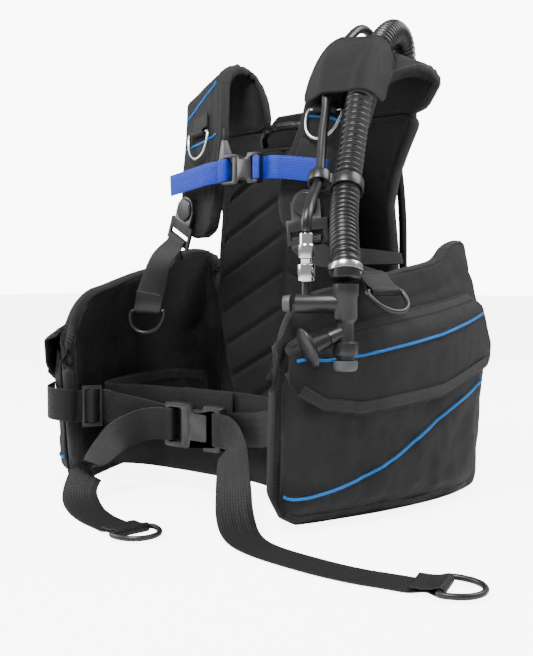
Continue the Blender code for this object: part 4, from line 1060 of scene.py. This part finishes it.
def buckle(prefix, at, length, height, thick, carrier):
    """A side-release buckle; round notches in the socket leave room to squeeze the plug's prongs."""
    ax, ay, az = at
    h, t = height / 2, thick / 2
    bar, slot = 0.075 * length, 0.12 * length

    def spot(x, y, z):
        return (ax + x, ay + y, az + z)

    socket = block(spot(-0.06 * length, -t, -h), spot(length / 2, t, h), 0.16 * h)
    raised = block(
        spot(-0.045 * length, -t - 0.0007, -0.60 * h), spot(0.27 * length, -t + 0.001, 0.60 * h), 0.1 * h
    )
    combine(socket, [raised], "UNION")
    cuts = [
        block(spot(-0.2 * length, -0.62 * t, -0.80 * h), spot(0.29 * length, 0.62 * t, 0.80 * h)),
        block(
            spot(length / 2 - bar - slot, -2 * t, -0.8 * h), spot(length / 2 - bar, 2 * t, 0.8 * h),
            0.12 * h
        ),
    ]
    cuts += [drum(spot(0.085 * length, 0, side * 1.04 * h), 0.44 * h, 4 * t) for side in (-1, 1)]
    combine(socket, cuts, "DIFFERENCE")
    socket.name = f"{prefix}_socket_moulding"
    soft_edges(socket, 0.0006)
    dressed(socket, SATIN, VEST, "moulded_plastic", [f"{prefix}_buckle_socket"])

    plug = block(spot(-length / 2, -t, -h), spot(-0.06 * length - GAP, t, h), 0.16 * h)
    prongs = []
    for side in (-1, 1):
        low, high = sorted((side * 0.42 * h, side * 0.77 * h))
        prongs.append(
            block(spot(-0.10 * length, -0.5 * t, low), spot(0.16 * length, 0.5 * t, high), 0.08 * h)
        )
    prongs.append(block(spot(-0.10 * length, -0.4 * t, -0.08 * h), spot(0.20 * length, 0.4 * t, 0.08 * h)))
    combine(plug, prongs, "UNION")
    eye = block(spot(-length / 2 + bar, -2 * t, -0.8 * h), spot(-0.19 * length, 2 * t, 0.8 * h), 0.12 * h)
    combine(plug, [eye], "DIFFERENCE")
    plug.name = f"{prefix}_plug_moulding"
    soft_edges(plug, 0.0006)
    dressed(plug, SATIN, carrier, "moulded_plastic", [f"{prefix}_buckle_plug"])


def shoulder_ring(name, side, s, a):
    """A steel D-ring on the front of the pad, in a keeper of webbing."""
    off = YOKE_THICK / 2 + GAP + WEB / 2
    bar = np.array(on_yoke(side, s, a, off + RING_WIRE + GAP + WEB))
    below = np.array(on_yoke(side, s + 0.05, a, off + RING_WIRE + GAP + WEB))
    across = np.array(on_yoke(side, s, a + 0.01, off)) - np.array(on_yoke(side, s, a, off))
    down = unit(below - bar)
    forward = unit(np.cross(down, across)) * side
    carrier = f"{name}_shoulder_ring"
    ring(f"{name}_shoulder_d_ring", bar, across, down, "steel", carrier, *STEEL_RING)
    turn = STEEL_RING[2] + GAP + WEB
    lay = turn - 0.0002
    points = [bar - down * 0.026 - forward * lay, bar - down * 0.008 - forward * lay]
    for angle in np.radians([-60, -20, 20, 60]):
        points.append(bar + down * turn * math.cos(angle) + forward * turn * math.sin(angle))
    points += [
        bar - down * 0.002 + forward * (turn - 0.0002),
        bar - down * 0.009 - forward * (lay - WEB - GAP),
        bar - down * 0.026 - forward * (lay - WEB - GAP),
    ]
    strap(f"{name}_ring_keeper", "webbing", points, across, 0.030)


def shoulder_webbing(name, side, route, tail_route, last_across, tail_carrier):
    """The webbing from the lobe up to the frame, and the pull tail that comes back down with its ring."""
    matrix = swivel_matrix(name)
    turn = frame_turn(matrix)
    across = np.array(matrix.to_3x3() @ Vector((1, 0, 0)))
    start = turn[0] + unit(turn[0] - turn[1]) * 0.003
    loaded = smooth([start, *route], 12)
    lobe_across = np.array((0.25 * side, 0.95, 0.2))
    shares = np.linspace(0, 1, len(loaded))
    acrosses = [unit(across * (1 - share) + lobe_across * side * share) for share in shares]
    strap(f"{name}_shoulder_webbing", "webbing", loaded, acrosses, SHOULDER_WEB_WIDTH)

    hanging = smooth([turn[-1], *tail_route[:-1]], 14)
    ring_bar = np.array(tail_route[-1])
    up = unit(np.cross(last_across, ring_bar - hanging[-1]))
    if up[1] > 0:
        up = -up
    loop = ring_loop(ring_bar, hanging[-1] - ring_bar, up)
    shares = np.linspace(0, 1, len(hanging))
    last = np.array(last_across, float)
    middles = [unit(across * (1 - share) + last * share) for share in shares]
    points = np.vstack([turn, hanging[1:], loop])
    acrosses = [across] * len(turn) + middles[1:] + [last] * len(loop)
    strap(f"{name}_pull_tail", "webbing", points, acrosses, SHOULDER_WEB_WIDTH, tail_carrier)
    carrier = f"{name}_pull_ring"
    drop = unit(ring_bar - hanging[-1])
    ring(f"{name}_pull_ring", ring_bar, last_across, drop, "moulded plastic", carrier, *PULL_RING)


def floor_tail(name, start, stations, ring_bar, ring_away, carrier):
    """The pull tail from the buckle's bar down to the floor, and the ring that it ends in."""
    rows = np.array([(*start[-1], 0, 0, 1), *stations], float)
    eased = smooth(rows, 26)
    points, acrosses = eased[:, :3], eased[:, 3:]
    loop = ring_loop(ring_bar, ring_away, (0, 0, 1))
    last = np.cross((0, 0, 1), ring_away)
    if np.dot(last, acrosses[-1]) < 0:
        last = -last
    points = np.vstack([start, points[1:], loop])
    acrosses = np.vstack([np.tile((0, 0, 1), (len(start), 1)), acrosses[1:], np.tile(last, (len(loop), 1))])
    strap(f"waist_tail_{name}", "webbing", points, acrosses, WAIST_WEB_WIDTH, carrier)
    ring(
        f"waist_ring_{name}", ring_bar, last, -np.array(ring_away), "moulded plastic", f"waist_ring_{name}"
    )


def waist_right():
    """The buckle, the right strap through its slider, and the right tail."""
    length, height, thick = WAIST_BUCKLE_SIZE
    buckle("waist", WAIST_BUCKLE_AT, length, height, thick, "waist_release")
    right_turn = ladder_turn(WAIST_BUCKLE_AT, length, thick, -1)
    slider_at, slider_along = (-0.1370, -0.2690, 0.102), (-0.46, -0.88, 0)
    hard("waist_slider", PLASTIC, VEST, "moulded_plastic", 0.0007)
    weave = woven(slider_at, slider_along)
    start = right_turn[0] + np.array((-0.0012, 0, 0))
    route = [start, (-0.064, -0.2195, 0.086), (-0.092, -0.2300, 0.092), (-0.118, -0.2460, 0.098)]
    outer = (
        (-0.1475, -0.2960, 0.105),
        (-0.1540, -0.3050, 0.106),
        (-0.1660, -0.3090, 0.107),
        (-0.1790, -0.3050, 0.108),
        (-0.1900, -0.2930, 0.109),
        (-0.2000, -0.2770, 0.110),
    )
    points = np.vstack([smooth([*route, weave[0]], 9)[:-1], weave, smooth([weave[-1], *outer], 9)[1:]])
    strap("waist_strap_right", "webbing", points, (0, 0, 1), WAIST_WEB_WIDTH)

    right_stations = (
        (-0.070, -0.2440, 0.082, 0, 0.10, 1.0),
        (-0.086, -0.2700, 0.070, -0.20, 0.35, 0.90),
        (-0.095, -0.2920, 0.050, -0.30, 0.60, 0.72),
        (-0.096, -0.3140, 0.030, -0.10, 0.80, 0.55),
        (-0.082, -0.3370, 0.012, 0.15, 0.95, 0.30),
        (-0.050, -0.3560, 0.0030, 0.40, 0.92, 0.05),
        (-0.015, -0.3700, TAIL_ON_FLOOR, 0.35, 0.94, 0),
        (0.020, -0.3790, TAIL_ON_FLOOR, 0.22, 0.98, 0),
        (0.032, -0.3815, TAIL_ON_FLOOR, 0.20, 0.98, 0),
    )
    away = unit((-0.980, 0.200, 0))
    bar = np.array((0.0575, -0.3867, RING_ON_FLOOR))
    floor_tail("right", right_turn[1:], right_stations, bar, away, "waist_release")


def waist_left():
    """The left strap and its long tail over the floor."""
    length, _, thick = WAIST_BUCKLE_SIZE
    left_turn = ladder_turn(WAIST_BUCKLE_AT, length, thick, 1)
    route = (
        left_turn[0] + np.array((0.0012, 0, 0)),
        (0.066, -0.2175, 0.086),
        (0.094, -0.2280, 0.090),
        (0.120, -0.2430, 0.096),
        (0.140, -0.2540, 0.100),
        (0.156, -0.2530, 0.103),
        (0.168, -0.2410, 0.104),
    )
    strap("waist_strap_left", "webbing", smooth(route, 14), (0, 0, 1), WAIST_WEB_WIDTH)

    left_stations = (
        (0.066, -0.2400, 0.082, 0.15, 0.05, 1.0),
        (0.080, -0.2520, 0.070, 0.60, 0.30, 0.75),
        (0.090, -0.2640, 0.050, 0.80, 0.45, 0.40),
        (0.106, -0.2820, 0.031, 0.80, 0.55, 0.20),
        (0.130, -0.3080, 0.014, 0.70, 0.70, 0.10),
        (0.160, -0.3320, 0.003, 0.48, 0.87, 0.02),
        (0.198, -0.3480, TAIL_ON_FLOOR, 0.20, 0.98, 0),
        (0.257, -0.3560, TAIL_ON_FLOOR, 0.05, 1.0, 0),
        (0.305, -0.3560, TAIL_ON_FLOOR, -0.05, 1.0, 0),
        (0.340, -0.3500, TAIL_ON_FLOOR, -0.15, 0.98, 0),
        (0.360, -0.3460, TAIL_ON_FLOOR, -0.22, 0.97, 0),
    )
    away = unit((-0.970, -0.243, 0))
    bar = np.array((0.3855, -0.3396, RING_ON_FLOOR))
    floor_tail("left", left_turn[1:], left_stations, bar, away, VEST)


def sternum():
    """The small buckle and both halves of the chest strap."""
    length, height, thick = STERNUM_BUCKLE_SIZE
    buckle("sternum", STERNUM_BUCKLE_AT, length, height, thick, "sternum_release")
    left = ((0.060, -0.1535, 0.397), (0.080, -0.149, 0.395), (0.100, -0.144, 0.392), (0.128, -0.137, 0.388))
    right = (
        (-0.044, -0.1525, 0.396), (-0.062, -0.150, 0.394), (-0.105, -0.140, 0.390), (-0.130, -0.133, 0.388)
    )
    for name, side, route in (("left", 1, left), ("right", -1, right)):
        turn = ladder_turn(STERNUM_BUCKLE_AT, length, thick, side)
        start = turn[0] + np.array((side * 0.002, 0, 0))
        points = np.vstack([turn[::-1], smooth([start, *route], 9)])
        strap(f"sternum_strap_{name}", "blue webbing", points, (0, 0, 1), STERNUM_WEB_WIDTH)


def tank_band():
    """It goes round the tank and through the backplate, and laps itself under the cam buckle."""
    other = [(-x, y) for x, y in TANK_BAND_HALF[::-1]][1:-2]
    route = [(-0.036, 0.1175), *TANK_BAND_HALF, *other, *TANK_BAND_LAP]
    lap = [(x, y, TANK_BAND_Z) for x, y in smooth(route, 60)]
    strap("tank_band", "webbing", lap, (0, 0, 1), TANK_BAND_HEIGHT, thickness=TANK_BAND_THICK)


# ---------------------------------------------------------------- camera, light and floor


def camera_and_light():
    """The camera, the studio's even light, and three soft lamps."""
    camera = bpy.data.cameras.new("camera")
    camera.sensor_fit = "VERTICAL"
    camera.sensor_height = 36
    camera.lens = 48.29
    view = bpy.data.objects.new("camera", camera)
    view.location = (0.6426, -0.8646, 0.2585)
    view.rotation_euler = (math.radians(87), 0, math.radians(38))
    bpy.context.scene.collection.objects.link(view)
    bpy.context.scene.camera = view
    sky = bpy.data.worlds.new("studio")
    sky.use_nodes = True
    shown = sky.node_tree.nodes.new("ShaderNodeLightPath")
    brightness = Value(sky.node_tree, shown.outputs["Is Camera Ray"]) * 9.0 + 0.42
    fill(sky.node_tree, sky.node_tree.nodes["Background"].inputs["Color"], (1, 1, 1, 1))
    fill(sky.node_tree, sky.node_tree.nodes["Background"].inputs["Strength"], brightness)
    bpy.context.scene.world = sky
    for name, at, size, power in (
        ("key", (0.2, -1.1, 1.9), 0.7, 62.0),
        ("fill", (-1.3, -0.8, 1.0), 1.0, 22.0),
        ("rim", (0.9, 0.8, 1.5), 1.0, 30.0),
    ):
        lamp = bpy.data.lights.new(name, "AREA")
        lamp.size = size
        lamp.energy = power
        thing = bpy.data.objects.new(name, lamp)
        thing.location = at
        thing.rotation_euler = (Vector((0, 0, 0.28)) - Vector(at)).to_track_quat("-Z", "Y").to_euler()
        bpy.context.scene.collection.objects.link(thing)


def studio_floor():
    """A wide sheet of pale paper under the vest."""
    bpy.ops.mesh.primitive_plane_add(size=30, location=(0, 0, -0.0004))
    floor = bpy.context.object
    floor.name = "floor"
    paper = Finish("studio paper", 0.9)
    fill(paper.tree, paper.shader.inputs["Base Color"], (0.94, 0.94, 0.94, 1))
    shown = paper.tree.nodes.new("ShaderNodeLightPath")
    seen = Value(paper.tree, shown.outputs["Is Camera Ray"])
    fill(paper.tree, paper.shader.inputs["Emission Color"], paper.blend(seen, (0, 0, 0), (1, 1, 1)))
    fill(paper.tree, paper.shader.inputs["Emission Strength"], 6.0)
    floor.data.materials.append(paper.material)


# ---------------------------------------------------------------- hoses


def corrugated_hose():
    """Ribs along its length, and a plain cuff at each end."""
    pitch, depth, cuff = 0.0076, 0.0026, 0.013
    total = length_of(smooth(CORRUGATED_ROUTE, 300))
    line = smooth(CORRUGATED_ROUTE, round(total / pitch * 10))
    along = np.linspace(0, total, len(line))
    radii = []
    for s in along:
        if min(s, total - s) < cuff:
            radii.append(CORRUGATED_RADIUS - 0.0006)
            continue
        wave = 0.5 - 0.5 * math.cos(2 * math.pi * (s - cuff) / pitch)
        radii.append(CORRUGATED_RADIUS - depth * (1 - wave**0.6))
    hose = tube("corrugated_hose_ribbed", line, np.array(radii), 40)
    dressed(hose, RUBBER, VEST, "rubber", ["corrugated_hose"])
    line = world(smooth(CORRUGATED_ROUTE, 60))
    length_of(line)


def small_hose():
    """The smooth low-pressure hose, with the fitting on its far end."""
    line = smooth(LP_ROUTE, 220)
    hose = tube("lp_hose_smooth", line, LP_RADIUS, 20)
    dressed(hose, RUBBER, VEST, "rubber", ["lp_hose"])
    fitting = hard("lp_hose_fitting", CHROME, VEST, "chrome", 0.0004)
    line = world(smooth(LP_ROUTE, 70))
    length_of(line)


# ---------------------------------------------------------------- lobes and pockets

LOBE_LENGTH = length_of(np.column_stack([LOBE_LINE, np.zeros(len(LOBE_LINE))]))
LOBE_CREST = (
    (0.0, 0.150),
    (0.015, 0.190),
    (0.05, 0.226),
    (0.12, 0.246),
    (0.22, 0.255),
    (0.40, 0.272),
    (0.54, 0.284),
    (0.63, 0.303),
    (0.74, 0.309),
    (0.90, 0.296),
    (1.0, 0.262),
)


CREST_LINE = smooth([(t * LOBE_LENGTH, 0, z) for t, z in LOBE_CREST], 120)[:, ::2] / (LOBE_LENGTH, 1)


def soft_step(share):
    """A share from 0 to 1 that starts and ends gently."""
    share = max(0.0, min(1.0, share))
    return share * share * (3 - 2 * share)


def lobe(name, side):
    """A padded side lobe, quilted once along its top and bound all round."""
    height = 0.27

    def surface(u, v):
        low, high = profile(LOBE_BOTTOM, u), profile(CREST_LINE, u)
        return on_lobe(side, u, low + (high - low) * v, 0)

    seam = ((0.0, 0.235), (LOBE_LENGTH, 0.235))

    def outer(x, y, at):
        quilt = -0.0016 * math.exp(-((to_line(x, y, seam) / 0.004) ** 2))
        return crumple(at, 0.045, 0.0022) + crumple(at, 0.015, 0.0005) + quilt

    def inner(x, y, at):
        return 0.0012 + crumple(at + np.array((0.3, 0, 0)), 0.075, 0.0040) + crumple(at, 0.022, 0.0006)

    panel = Panel(
        f"{name}_lobe_cloth", surface, (LOBE_LENGTH, height), LOBE_THICK, 0.009, 0.0042, side, outer,
        inner, 0.012
    )
    piece = panel.dress(NYLON, VEST, "nylon", [f"{name}_lobe"], LINING)
    bind(f"{name}_lobe_binding", panel, all_round(panel), VEST, wrap=62)
    line = inside(panel, all_round(panel), 0.020)
    sew_straight(VEST, panel, line, -1)


def pocket(name, side):
    """A bellows pocket sewn onto its lobe, with a hem, a mouth and a rising line of piping."""
    start, end = POCKET_SPAN
    width, height = (end - start) * LOBE_LENGTH, 0.185

    def surface(u, v):
        t = start + (end - start) * u
        low = max(POCKET_BOTTOM, profile(LOBE_BOTTOM, t))
        high = profile(FLAP_TOP, t) - POCKET_UNDER_FLAP
        rise = soft_step(min(u, 1 - u) * width / 0.024) * soft_step(v * height / 0.026)
        mouth = (POCKET_OUT - POCKET_MOUTH_OUT) * soft_step((v - 0.72) / 0.28)
        out = POCKET_SEAM_OUT + (POCKET_OUT + 0.002 - mouth - POCKET_SEAM_OUT) * rise
        return on_lobe(side, t, low + (high - low) * v, out)

    def outer(x, y, at):
        sag = crumple((at[0], at[1], at[2] * 0.35), 0.030, 0.0016)
        return crumple(at, 0.055, 0.0030) + sag + crumple(at, 0.016, 0.0006)

    panel = Panel(
        f"{name}_pocket_cloth", surface, (width, height), POCKET_CLOTH, 0.0016, 0.0040, side, outer,
        lambda x, y, at: -outer(x, y, at), 0.016,
    )
    piece = panel.dress(NYLON, VEST, "nylon", [f"{name}_pocket"])
    x0 = 0.004
    band(f"{name}_pocket_hem", panel, ((x0, 0.007), (width * 0.5, 0.007), (width - x0, 0.007)), 0.010, VEST)
    band(f"{name}_pocket_mouth", panel, ((x0, height - 0.009), (width - x0, height - 0.009)), 0.016, VEST)
    rising = ((0.004, 0.030), (0.075, 0.042), (0.135, 0.062), (0.190, 0.090), (width - 0.004, 0.128))
    pipe(f"{name}_pocket_piping", panel, rising, VEST)


def pocket_flap(name, side, carrier):
    """The flap over a pocket, hung from its top seam."""
    start, end = POCKET_SPAN
    width, height = (end - start) * LOBE_LENGTH, 0.090

    def surface(u, v):
        t = start + (end - start) * u
        top, low = profile(FLAP_TOP, t), profile(FLAP_BOTTOM, t)
        hang = soft_step((1 - v) * height / 0.020)
        out = FLAP_HINGE_OUT + (FLAP_HANG_OUT - FLAP_HINGE_OUT) * hang
        return on_lobe(side, t, low + (top - low) * v, out)

    def outer(x, y, at):
        return (crumple(at, 0.050, 0.0014) + crumple(at, 0.018, 0.0004)) * min(1.0, (height - y) / 0.02)

    panel = Panel(
        f"{name}_flap_cloth", surface, (width, height), FLAP_CLOTH, 0.0015, 0.0040, side, outer,
        lambda x, y, at: -outer(x, y, at), 0.010,
    )
    piece = panel.dress(NYLON, carrier, "nylon", [f"{name}_pocket_flap"])
    band(
        f"{name}_flap_hem", panel, ((0.013, 0.0085), (width / 2, 0.0085), (width - 0.013, 0.0085)), 0.013,
        carrier
    )
    pipe(
        f"{name}_flap_piping", panel, ((0.008, 0.058), (width / 2, 0.060), (width - 0.006, 0.064)), carrier
    )
    band(
        f"{name}_flap_top", panel, ((0.006, height - 0.007), (width - 0.006, height - 0.007)), 0.010,
        carrier
    )


def cummerbund(name, side, step):
    """Half of the waist belt; step brings it forward where it laps over the other half."""
    plan = smooth(CUMMERBUND_PLAN, 200)
    width, height = length_of(np.column_stack([plan, np.zeros(200)])), CUMMERBUND_HIGH - CUMMERBUND_LOW

    def surface(u, v):
        spot = u * 199
        i = min(int(spot), 198)
        x, y = plan[i] + (plan[i + 1] - plan[i]) * (spot - i)
        y += step * max(0.0, 1 - max(0.0, x - 0.05) / 0.07)
        return np.array((side * x, y, CUMMERBUND_LOW + height * v))

    def outer(x, y, at):
        folds = crumple((at[0] * 0.35, at[1] * 0.35, at[2]), 0.012, 0.0006)
        return folds + crumple(at, 0.05, 0.0005)

    panel = Panel(
        f"{name}_cummerbund_cloth", surface, (width, height), CUMMERBUND_THICK, 0.002, 0.0042, -side, outer,
        lambda x, y, at: -outer(x, y, at), 0.006,
    )
    piece = panel.dress(NYLON, VEST, "nylon", [f"{name}_cummerbund"])
    for label, y in (("low", 0.008), ("high", height - 0.008)):
        band(
            f"{name}_cummerbund_{label}_hem", panel, ((0.004, y), (width / 2, y), (width - 0.004, y)),
            0.013, VEST
        )
    band(
        f"{name}_cummerbund_end", panel, ((0.009, 0.004), (0.009, height / 2), (0.009, height - 0.004)),
        0.014, VEST
    )


# ---------------------------------------------------------------- back assembly


def upright(widths, tops, y, bow=0.0):
    """A surface across an upright panel, from its half widths at several heights and its top edge."""
    low = widths[0][0]

    def surface(u, v):
        spread_x = 2 * u - 1
        high = profile(tops, abs(spread_x))
        z = low + (high - low) * v
        half = profile(widths, z)
        return np.array((spread_x * half, y + bow * spread_x**2, z))

    return surface


def back():
    """The ribbed back pad in front, and the jacket behind the plate."""
    pad_widths = (
        (0.060, 0.070), (0.120, 0.096), (0.232, 0.120), (0.375, 0.097), (0.420, 0.070), (0.438, 0.050)
    )
    width, height = 0.22, 0.378

    def chevrons(x, y, at):
        rung = (at[2] + abs(at[0]) * 0.55) % 0.050
        groove = math.exp(-(((rung - 0.025) / 0.0045) ** 2))
        spine = math.exp(-((at[0] / 0.006) ** 2))
        return -0.0048 * max(groove, spine) + crumple(at, 0.06, 0.0006)

    surface = upright(pad_widths, ((0, 0.438), (0.8, 0.438), (1, 0.425)), PAD_Y)
    panel = Panel(
        "back_pad_foam", surface, (width, height), PAD_THICK, 0.0075, 0.0032, 1, chevrons, None, 0.02
    )
    piece = panel.dress(SPACER, VEST, "lining", ["back_pad"])
    bind("back_pad_binding", panel, all_round(panel), VEST, wrap=58, slot="lining")

    jacket_widths = (
        (JACKET_BOTTOM, 0.120), (0.060, 0.138), (0.140, 0.150), (0.300, 0.148), (0.357, 0.142),
        (0.395, 0.150),
        (0.430, 0.165), (JACKET_TOP, 0.184), (COLLAR_TOP, 0.184),
    )
    tops = ((0, COLLAR_TOP), (0.22, COLLAR_TOP - 0.001), (0.34, JACKET_TOP), (1, JACKET_TOP))
    width, height = 0.31, 0.45

    def cells(x, y, at):
        lines = min(abs(abs(at[0]) - 0.062), abs(at[2] - 0.120), abs(at[2] - 0.385))
        return -0.0030 * math.exp(-((lines / 0.0045) ** 2)) + crumple(at, 0.07, 0.0013)

    panel = Panel(
        "jacket_back_cloth", upright(jacket_widths, tops, JACKET_Y), (width, height), JACKET_THICK, 0.012,
        0.0040,
        1, None, cells, 0.02,
    )
    piece = panel.dress(LINING, VEST, "nylon", ["jacket_back"], NYLON)
    bind("jacket_binding", panel, all_round(panel), VEST, wrap=55)
    for side in (-1, 1):
        x = width / 2 + side * 0.066
        for share in (-0.0022, 0.0022):
            line = ((x + share, 0.03), (x + share, height - 0.06))
            sew_straight(VEST, panel, line, -1)


def carry_handle():
    """A grip with a rib between each pair of fingers."""
    route = (
        (-0.048, -0.030, 0.4455), (-0.044, -0.038, 0.4560), (-0.028, -0.046, 0.4640), (0.0, -0.049, 0.4660),
        (0.028, -0.046, 0.4640), (0.044, -0.038, 0.4560), (0.048, -0.030, 0.4455),
    )
    line = smooth(route, 140)
    shares = np.linspace(0, 1, 140)
    ribs = np.abs(np.sin(shares * math.pi * 8)) ** 0.5
    radii = np.where(np.abs(shares - 0.5) < 0.375, 0.0046 + 0.0011 * ribs, 0.0052)
    dressed(tube("carry_handle_ribbed", line, radii, 20), RUBBER, VEST, "rubber", ["carry_handle"])


# ---------------------------------------------------------------- shoulders


def yoke(name, side):
    """A padded shoulder piece from the back over to the front."""
    frames = yoke_frames(side)
    last = len(frames) - 1
    centres = np.array([row[0] for row in frames])
    acrosses = np.array([row[1] for row in frames])
    widths = np.array([row[3] for row in frames])
    length, width = length_of(centres), 0.095

    def surface(u, v):
        spot = u * last
        i = min(int(spot), last - 1)
        share = spot - i
        middle = mixed(centres[i], centres[i + 1], share)
        across = unit(mixed(acrosses[i], acrosses[i + 1], share))
        wide = widths[i] * (1 - share) + widths[i + 1] * share
        x, y, z = middle + across * wide * (v - 0.5)
        return np.array((side * x, y, z))

    channel = ((0.10, 0.019), (length - 0.05, 0.019))

    def outer(x, y, at):
        return crumple(at, 0.040, 0.0011) - 0.0013 * math.exp(-((to_line(x, y, channel) / 0.003) ** 2))

    panel = Panel(
        f"{name}_yoke_cloth", surface, (length, width), YOKE_THICK, 0.009, 0.0038, side, outer,
        lambda x, y, at: crumple(at, 0.05, 0.0010), 0.014,
    )
    piece = panel.dress(NYLON, VEST, "nylon", [f"{name}_shoulder_yoke"], LINING)
    bind(f"{name}_yoke_binding", panel, all_round(panel), VEST, wrap=60)
    sew_straight(VEST, panel, channel, 1)
    if side < 0:
        pipe("right_yoke_upper_piping", panel, ((length * 0.53, width - 0.010), (length * 0.46, 0.050),
                                                (length * 0.40, 0.012)), VEST)
        pipe("right_yoke_lower_piping", panel, ((length * 0.665, width - 0.010), (length * 0.65, 0.045),
                                                (length * 0.63, 0.010)), VEST)
    else:
        pipe("left_yoke_piping", panel, ((length * 0.598, 0.010), (length * 0.610, 0.048),
                                         (length * 0.650, width - 0.010)), VEST)
        mesh = ((length * 0.70, width * 0.5), (length * 0.86, width * 0.5))
        band("left_yoke_mesh", panel, mesh, width * 0.62, VEST, SPACER, 0.0006)


def hose_sleeve():
    """The padded flap that folds over both hoses on the left shoulder."""
    frames = yoke_frames(1)
    first, last = 11, 17
    big_line, small_line = smooth(CORRUGATED_ROUTE, 300), smooth(LP_ROUTE, 400)
    sections = []
    for i in range(first, last + 1):
        middle, across, outward, width = frames[i]
        ends = frames[i - 1][0], frames[i + 1][0]
        big = across_section(frames[i], *ends, big_line)
        small = across_section(frames[i], *ends, small_line)
        off = YOKE_THICK / 2 + 0.0025
        over = CORRUGATED_RADIUS + 0.0030
        low = LP_RADIUS + 0.0040
        arch = [
            (min(-width / 2 + 0.003, small[0] - low - 0.006), off),
            small + low * unit((-1.0, 0.5)),
            small + low * unit((-0.2, 1.0)),
            big + over * unit((-0.8, 0.8)),
            big + over * unit((0.0, 1.0)),
            big + over * unit((0.75, 0.75)),
            big + over * unit((1.0, 0.05)),
            (max(width / 2 - 0.003, big[0] + over + 0.004), off),
        ]
        arch = np.column_stack([np.array(arch), np.zeros(len(arch))])
        sections.append([middle + across * a + outward * n for a, n, _ in smooth(arch, 60)])
    sections = np.array(sections)
    rows = np.stack([smooth(sections[:, k], 40) for k in range(60)], axis=1)
    length, width = length_of(rows[:, 30]), length_of(rows[20])

    def surface(u, v):
        i, j = min(int(u * 39), 38), min(int(v * 59), 58)
        p, q = u * 39 - i, v * 59 - j
        low = mixed(rows[i, j], rows[i + 1, j], p)
        return mixed(low, mixed(rows[i, j + 1], rows[i + 1, j + 1], p), q)

    panel = Panel(
        "hose_sleeve_cloth", surface, (length, width), 0.0034, 0.0017, 0.0034, 1,
        lambda x, y, at: crumple(at, 0.035, 0.0006), lambda x, y, at: -crumple(at, 0.035, 0.0006), 0.012,
    )
    piece = panel.dress(NYLON, "sleeve", "nylon", ["hose_sleeve"], LINING)
    bind("hose_sleeve_binding", panel, all_round(panel), "sleeve", wrap=80, proud=0.0009)
    lens = (
        (length - 0.008, 0.016), (length * 0.55, 0.024), (0.020, 0.040), (0.016, width * 0.5),
        (0.022, width - 0.040), (length * 0.55, width - 0.022), (length - 0.008, width - 0.014),
    )
    for offset in (0, 0.003):
        line = [(x, y + (offset if y < width / 2 else -offset)) for x, y in lens]
        sew("sleeve", *panel.path(line, 1, 0.0))


def shoulders():
    """Rings, swivels, webbing and pull tails on both shoulders."""
    shoulder_ring("left", 1, 0.585, -0.010)
    shoulder_ring("right", -1, 0.615, 0.0)
    for name in ("left", "right"):
        hard(f"{name}_swivel_base", PLASTIC, VEST, "moulded_plastic", 0.0004)
        hard(f"{name}_swivel_frame", PLASTIC, f"{name}_swivel", "moulded_plastic", 0.0006)
    route = ((0.124, -0.117, 0.289), (0.162, -0.091, 0.288), (0.192, -0.070, 0.286))
    tail = (
        (0.122, -0.156, 0.294), (0.160, -0.170, 0.279), (0.190, -0.178, 0.274), (0.217, -0.183, 0.268),
        (0.2365, -0.188, 0.248),
    )
    shoulder_webbing("left", 1, route, tail, (0.35, 0.93, 0), VEST)
    route = ((-0.146, -0.117, 0.298), (-0.173, -0.091, 0.293), (-0.192, -0.070, 0.288))
    tail = (
        (-0.134, -0.148, 0.288), (-0.146, -0.150, 0.258), (-0.153, -0.152, 0.236), (-0.156, -0.153, 0.218)
    )
    shoulder_webbing("right", -1, route, tail, (0.85, 0.5, 0), "right_swivel")


# ---------------------------------------------------------------- hardware


def hardware():
    """The moulded and turned pieces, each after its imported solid."""
    for node, finish, body, slot, width in (
        ("backplate", PLASTIC, VEST, "moulded_plastic", 0.0015),
        ("hose_elbow", PLASTIC, VEST, "moulded_plastic", 0.0008),
        ("hose_clip", PLASTIC, VEST, "moulded_plastic", 0.0006),
        ("hose_clamp", STEEL, VEST, "steel", 0.0003),
        ("inflator_body", PLASTIC, VEST, "moulded_plastic", 0.0008),
        ("mouthpiece", RUBBER, VEST, "rubber", 0.0008),
        ("inflate_button", GREY, "inflate_button", "grey_plastic", 0.0008),
        ("deflate_button", GREY, "deflate_button", "grey_plastic", 0.0008),
        ("disconnect_collar", CHROME, "disconnect_collar", "chrome", 0.0006),
        ("quick_disconnect", CHROME, VEST, "chrome", 0.0005),
        ("cam_buckle_frame", PLASTIC, VEST, "moulded_plastic", 0.0008),
        ("cam_lever", PLASTIC, "cam_lever", "moulded_plastic", 0.0012),
        ("dump_valve", PLASTIC, VEST, "moulded_plastic", 0.0008),
        ("dump_knob", GREY, "dump_pull", "grey_plastic", 0.0008),
        ("dump_cord", WEBBING, "dump_pull", "webbing", 0.0002),
    ):
        hard(node, finish, body, slot, width)


def deflate_stem():
    """The stem that joins the deflate button to the valve inside the body."""
    x, y = INFLATOR_AT
    line = [(x, y, z) for z in np.linspace(0.1782, 0.1858, 8)]
    dressed(tube("deflate_stem", line, 0.0092, 28), RUBBER, "deflate_button", "rubber")


def build():
    camera_and_light()
    studio_floor()
    corrugated_hose()
    small_hose()
    for name, side in (("left", 1), ("right", -1)):
        lobe(name, side)
        pocket(name, side)
        pocket_flap(name, side, VEST if side > 0 else "right_flap")
        cummerbund(name, side, -0.006 if side < 0 else 0.0)
        yoke(name, side)
    back()
    carry_handle()
    shoulders()
    sternum()
    waist_right()
    waist_left()
    hose_sleeve()
    tank_band()
    hardware()
    deflate_stem()
    make_seams()


build()
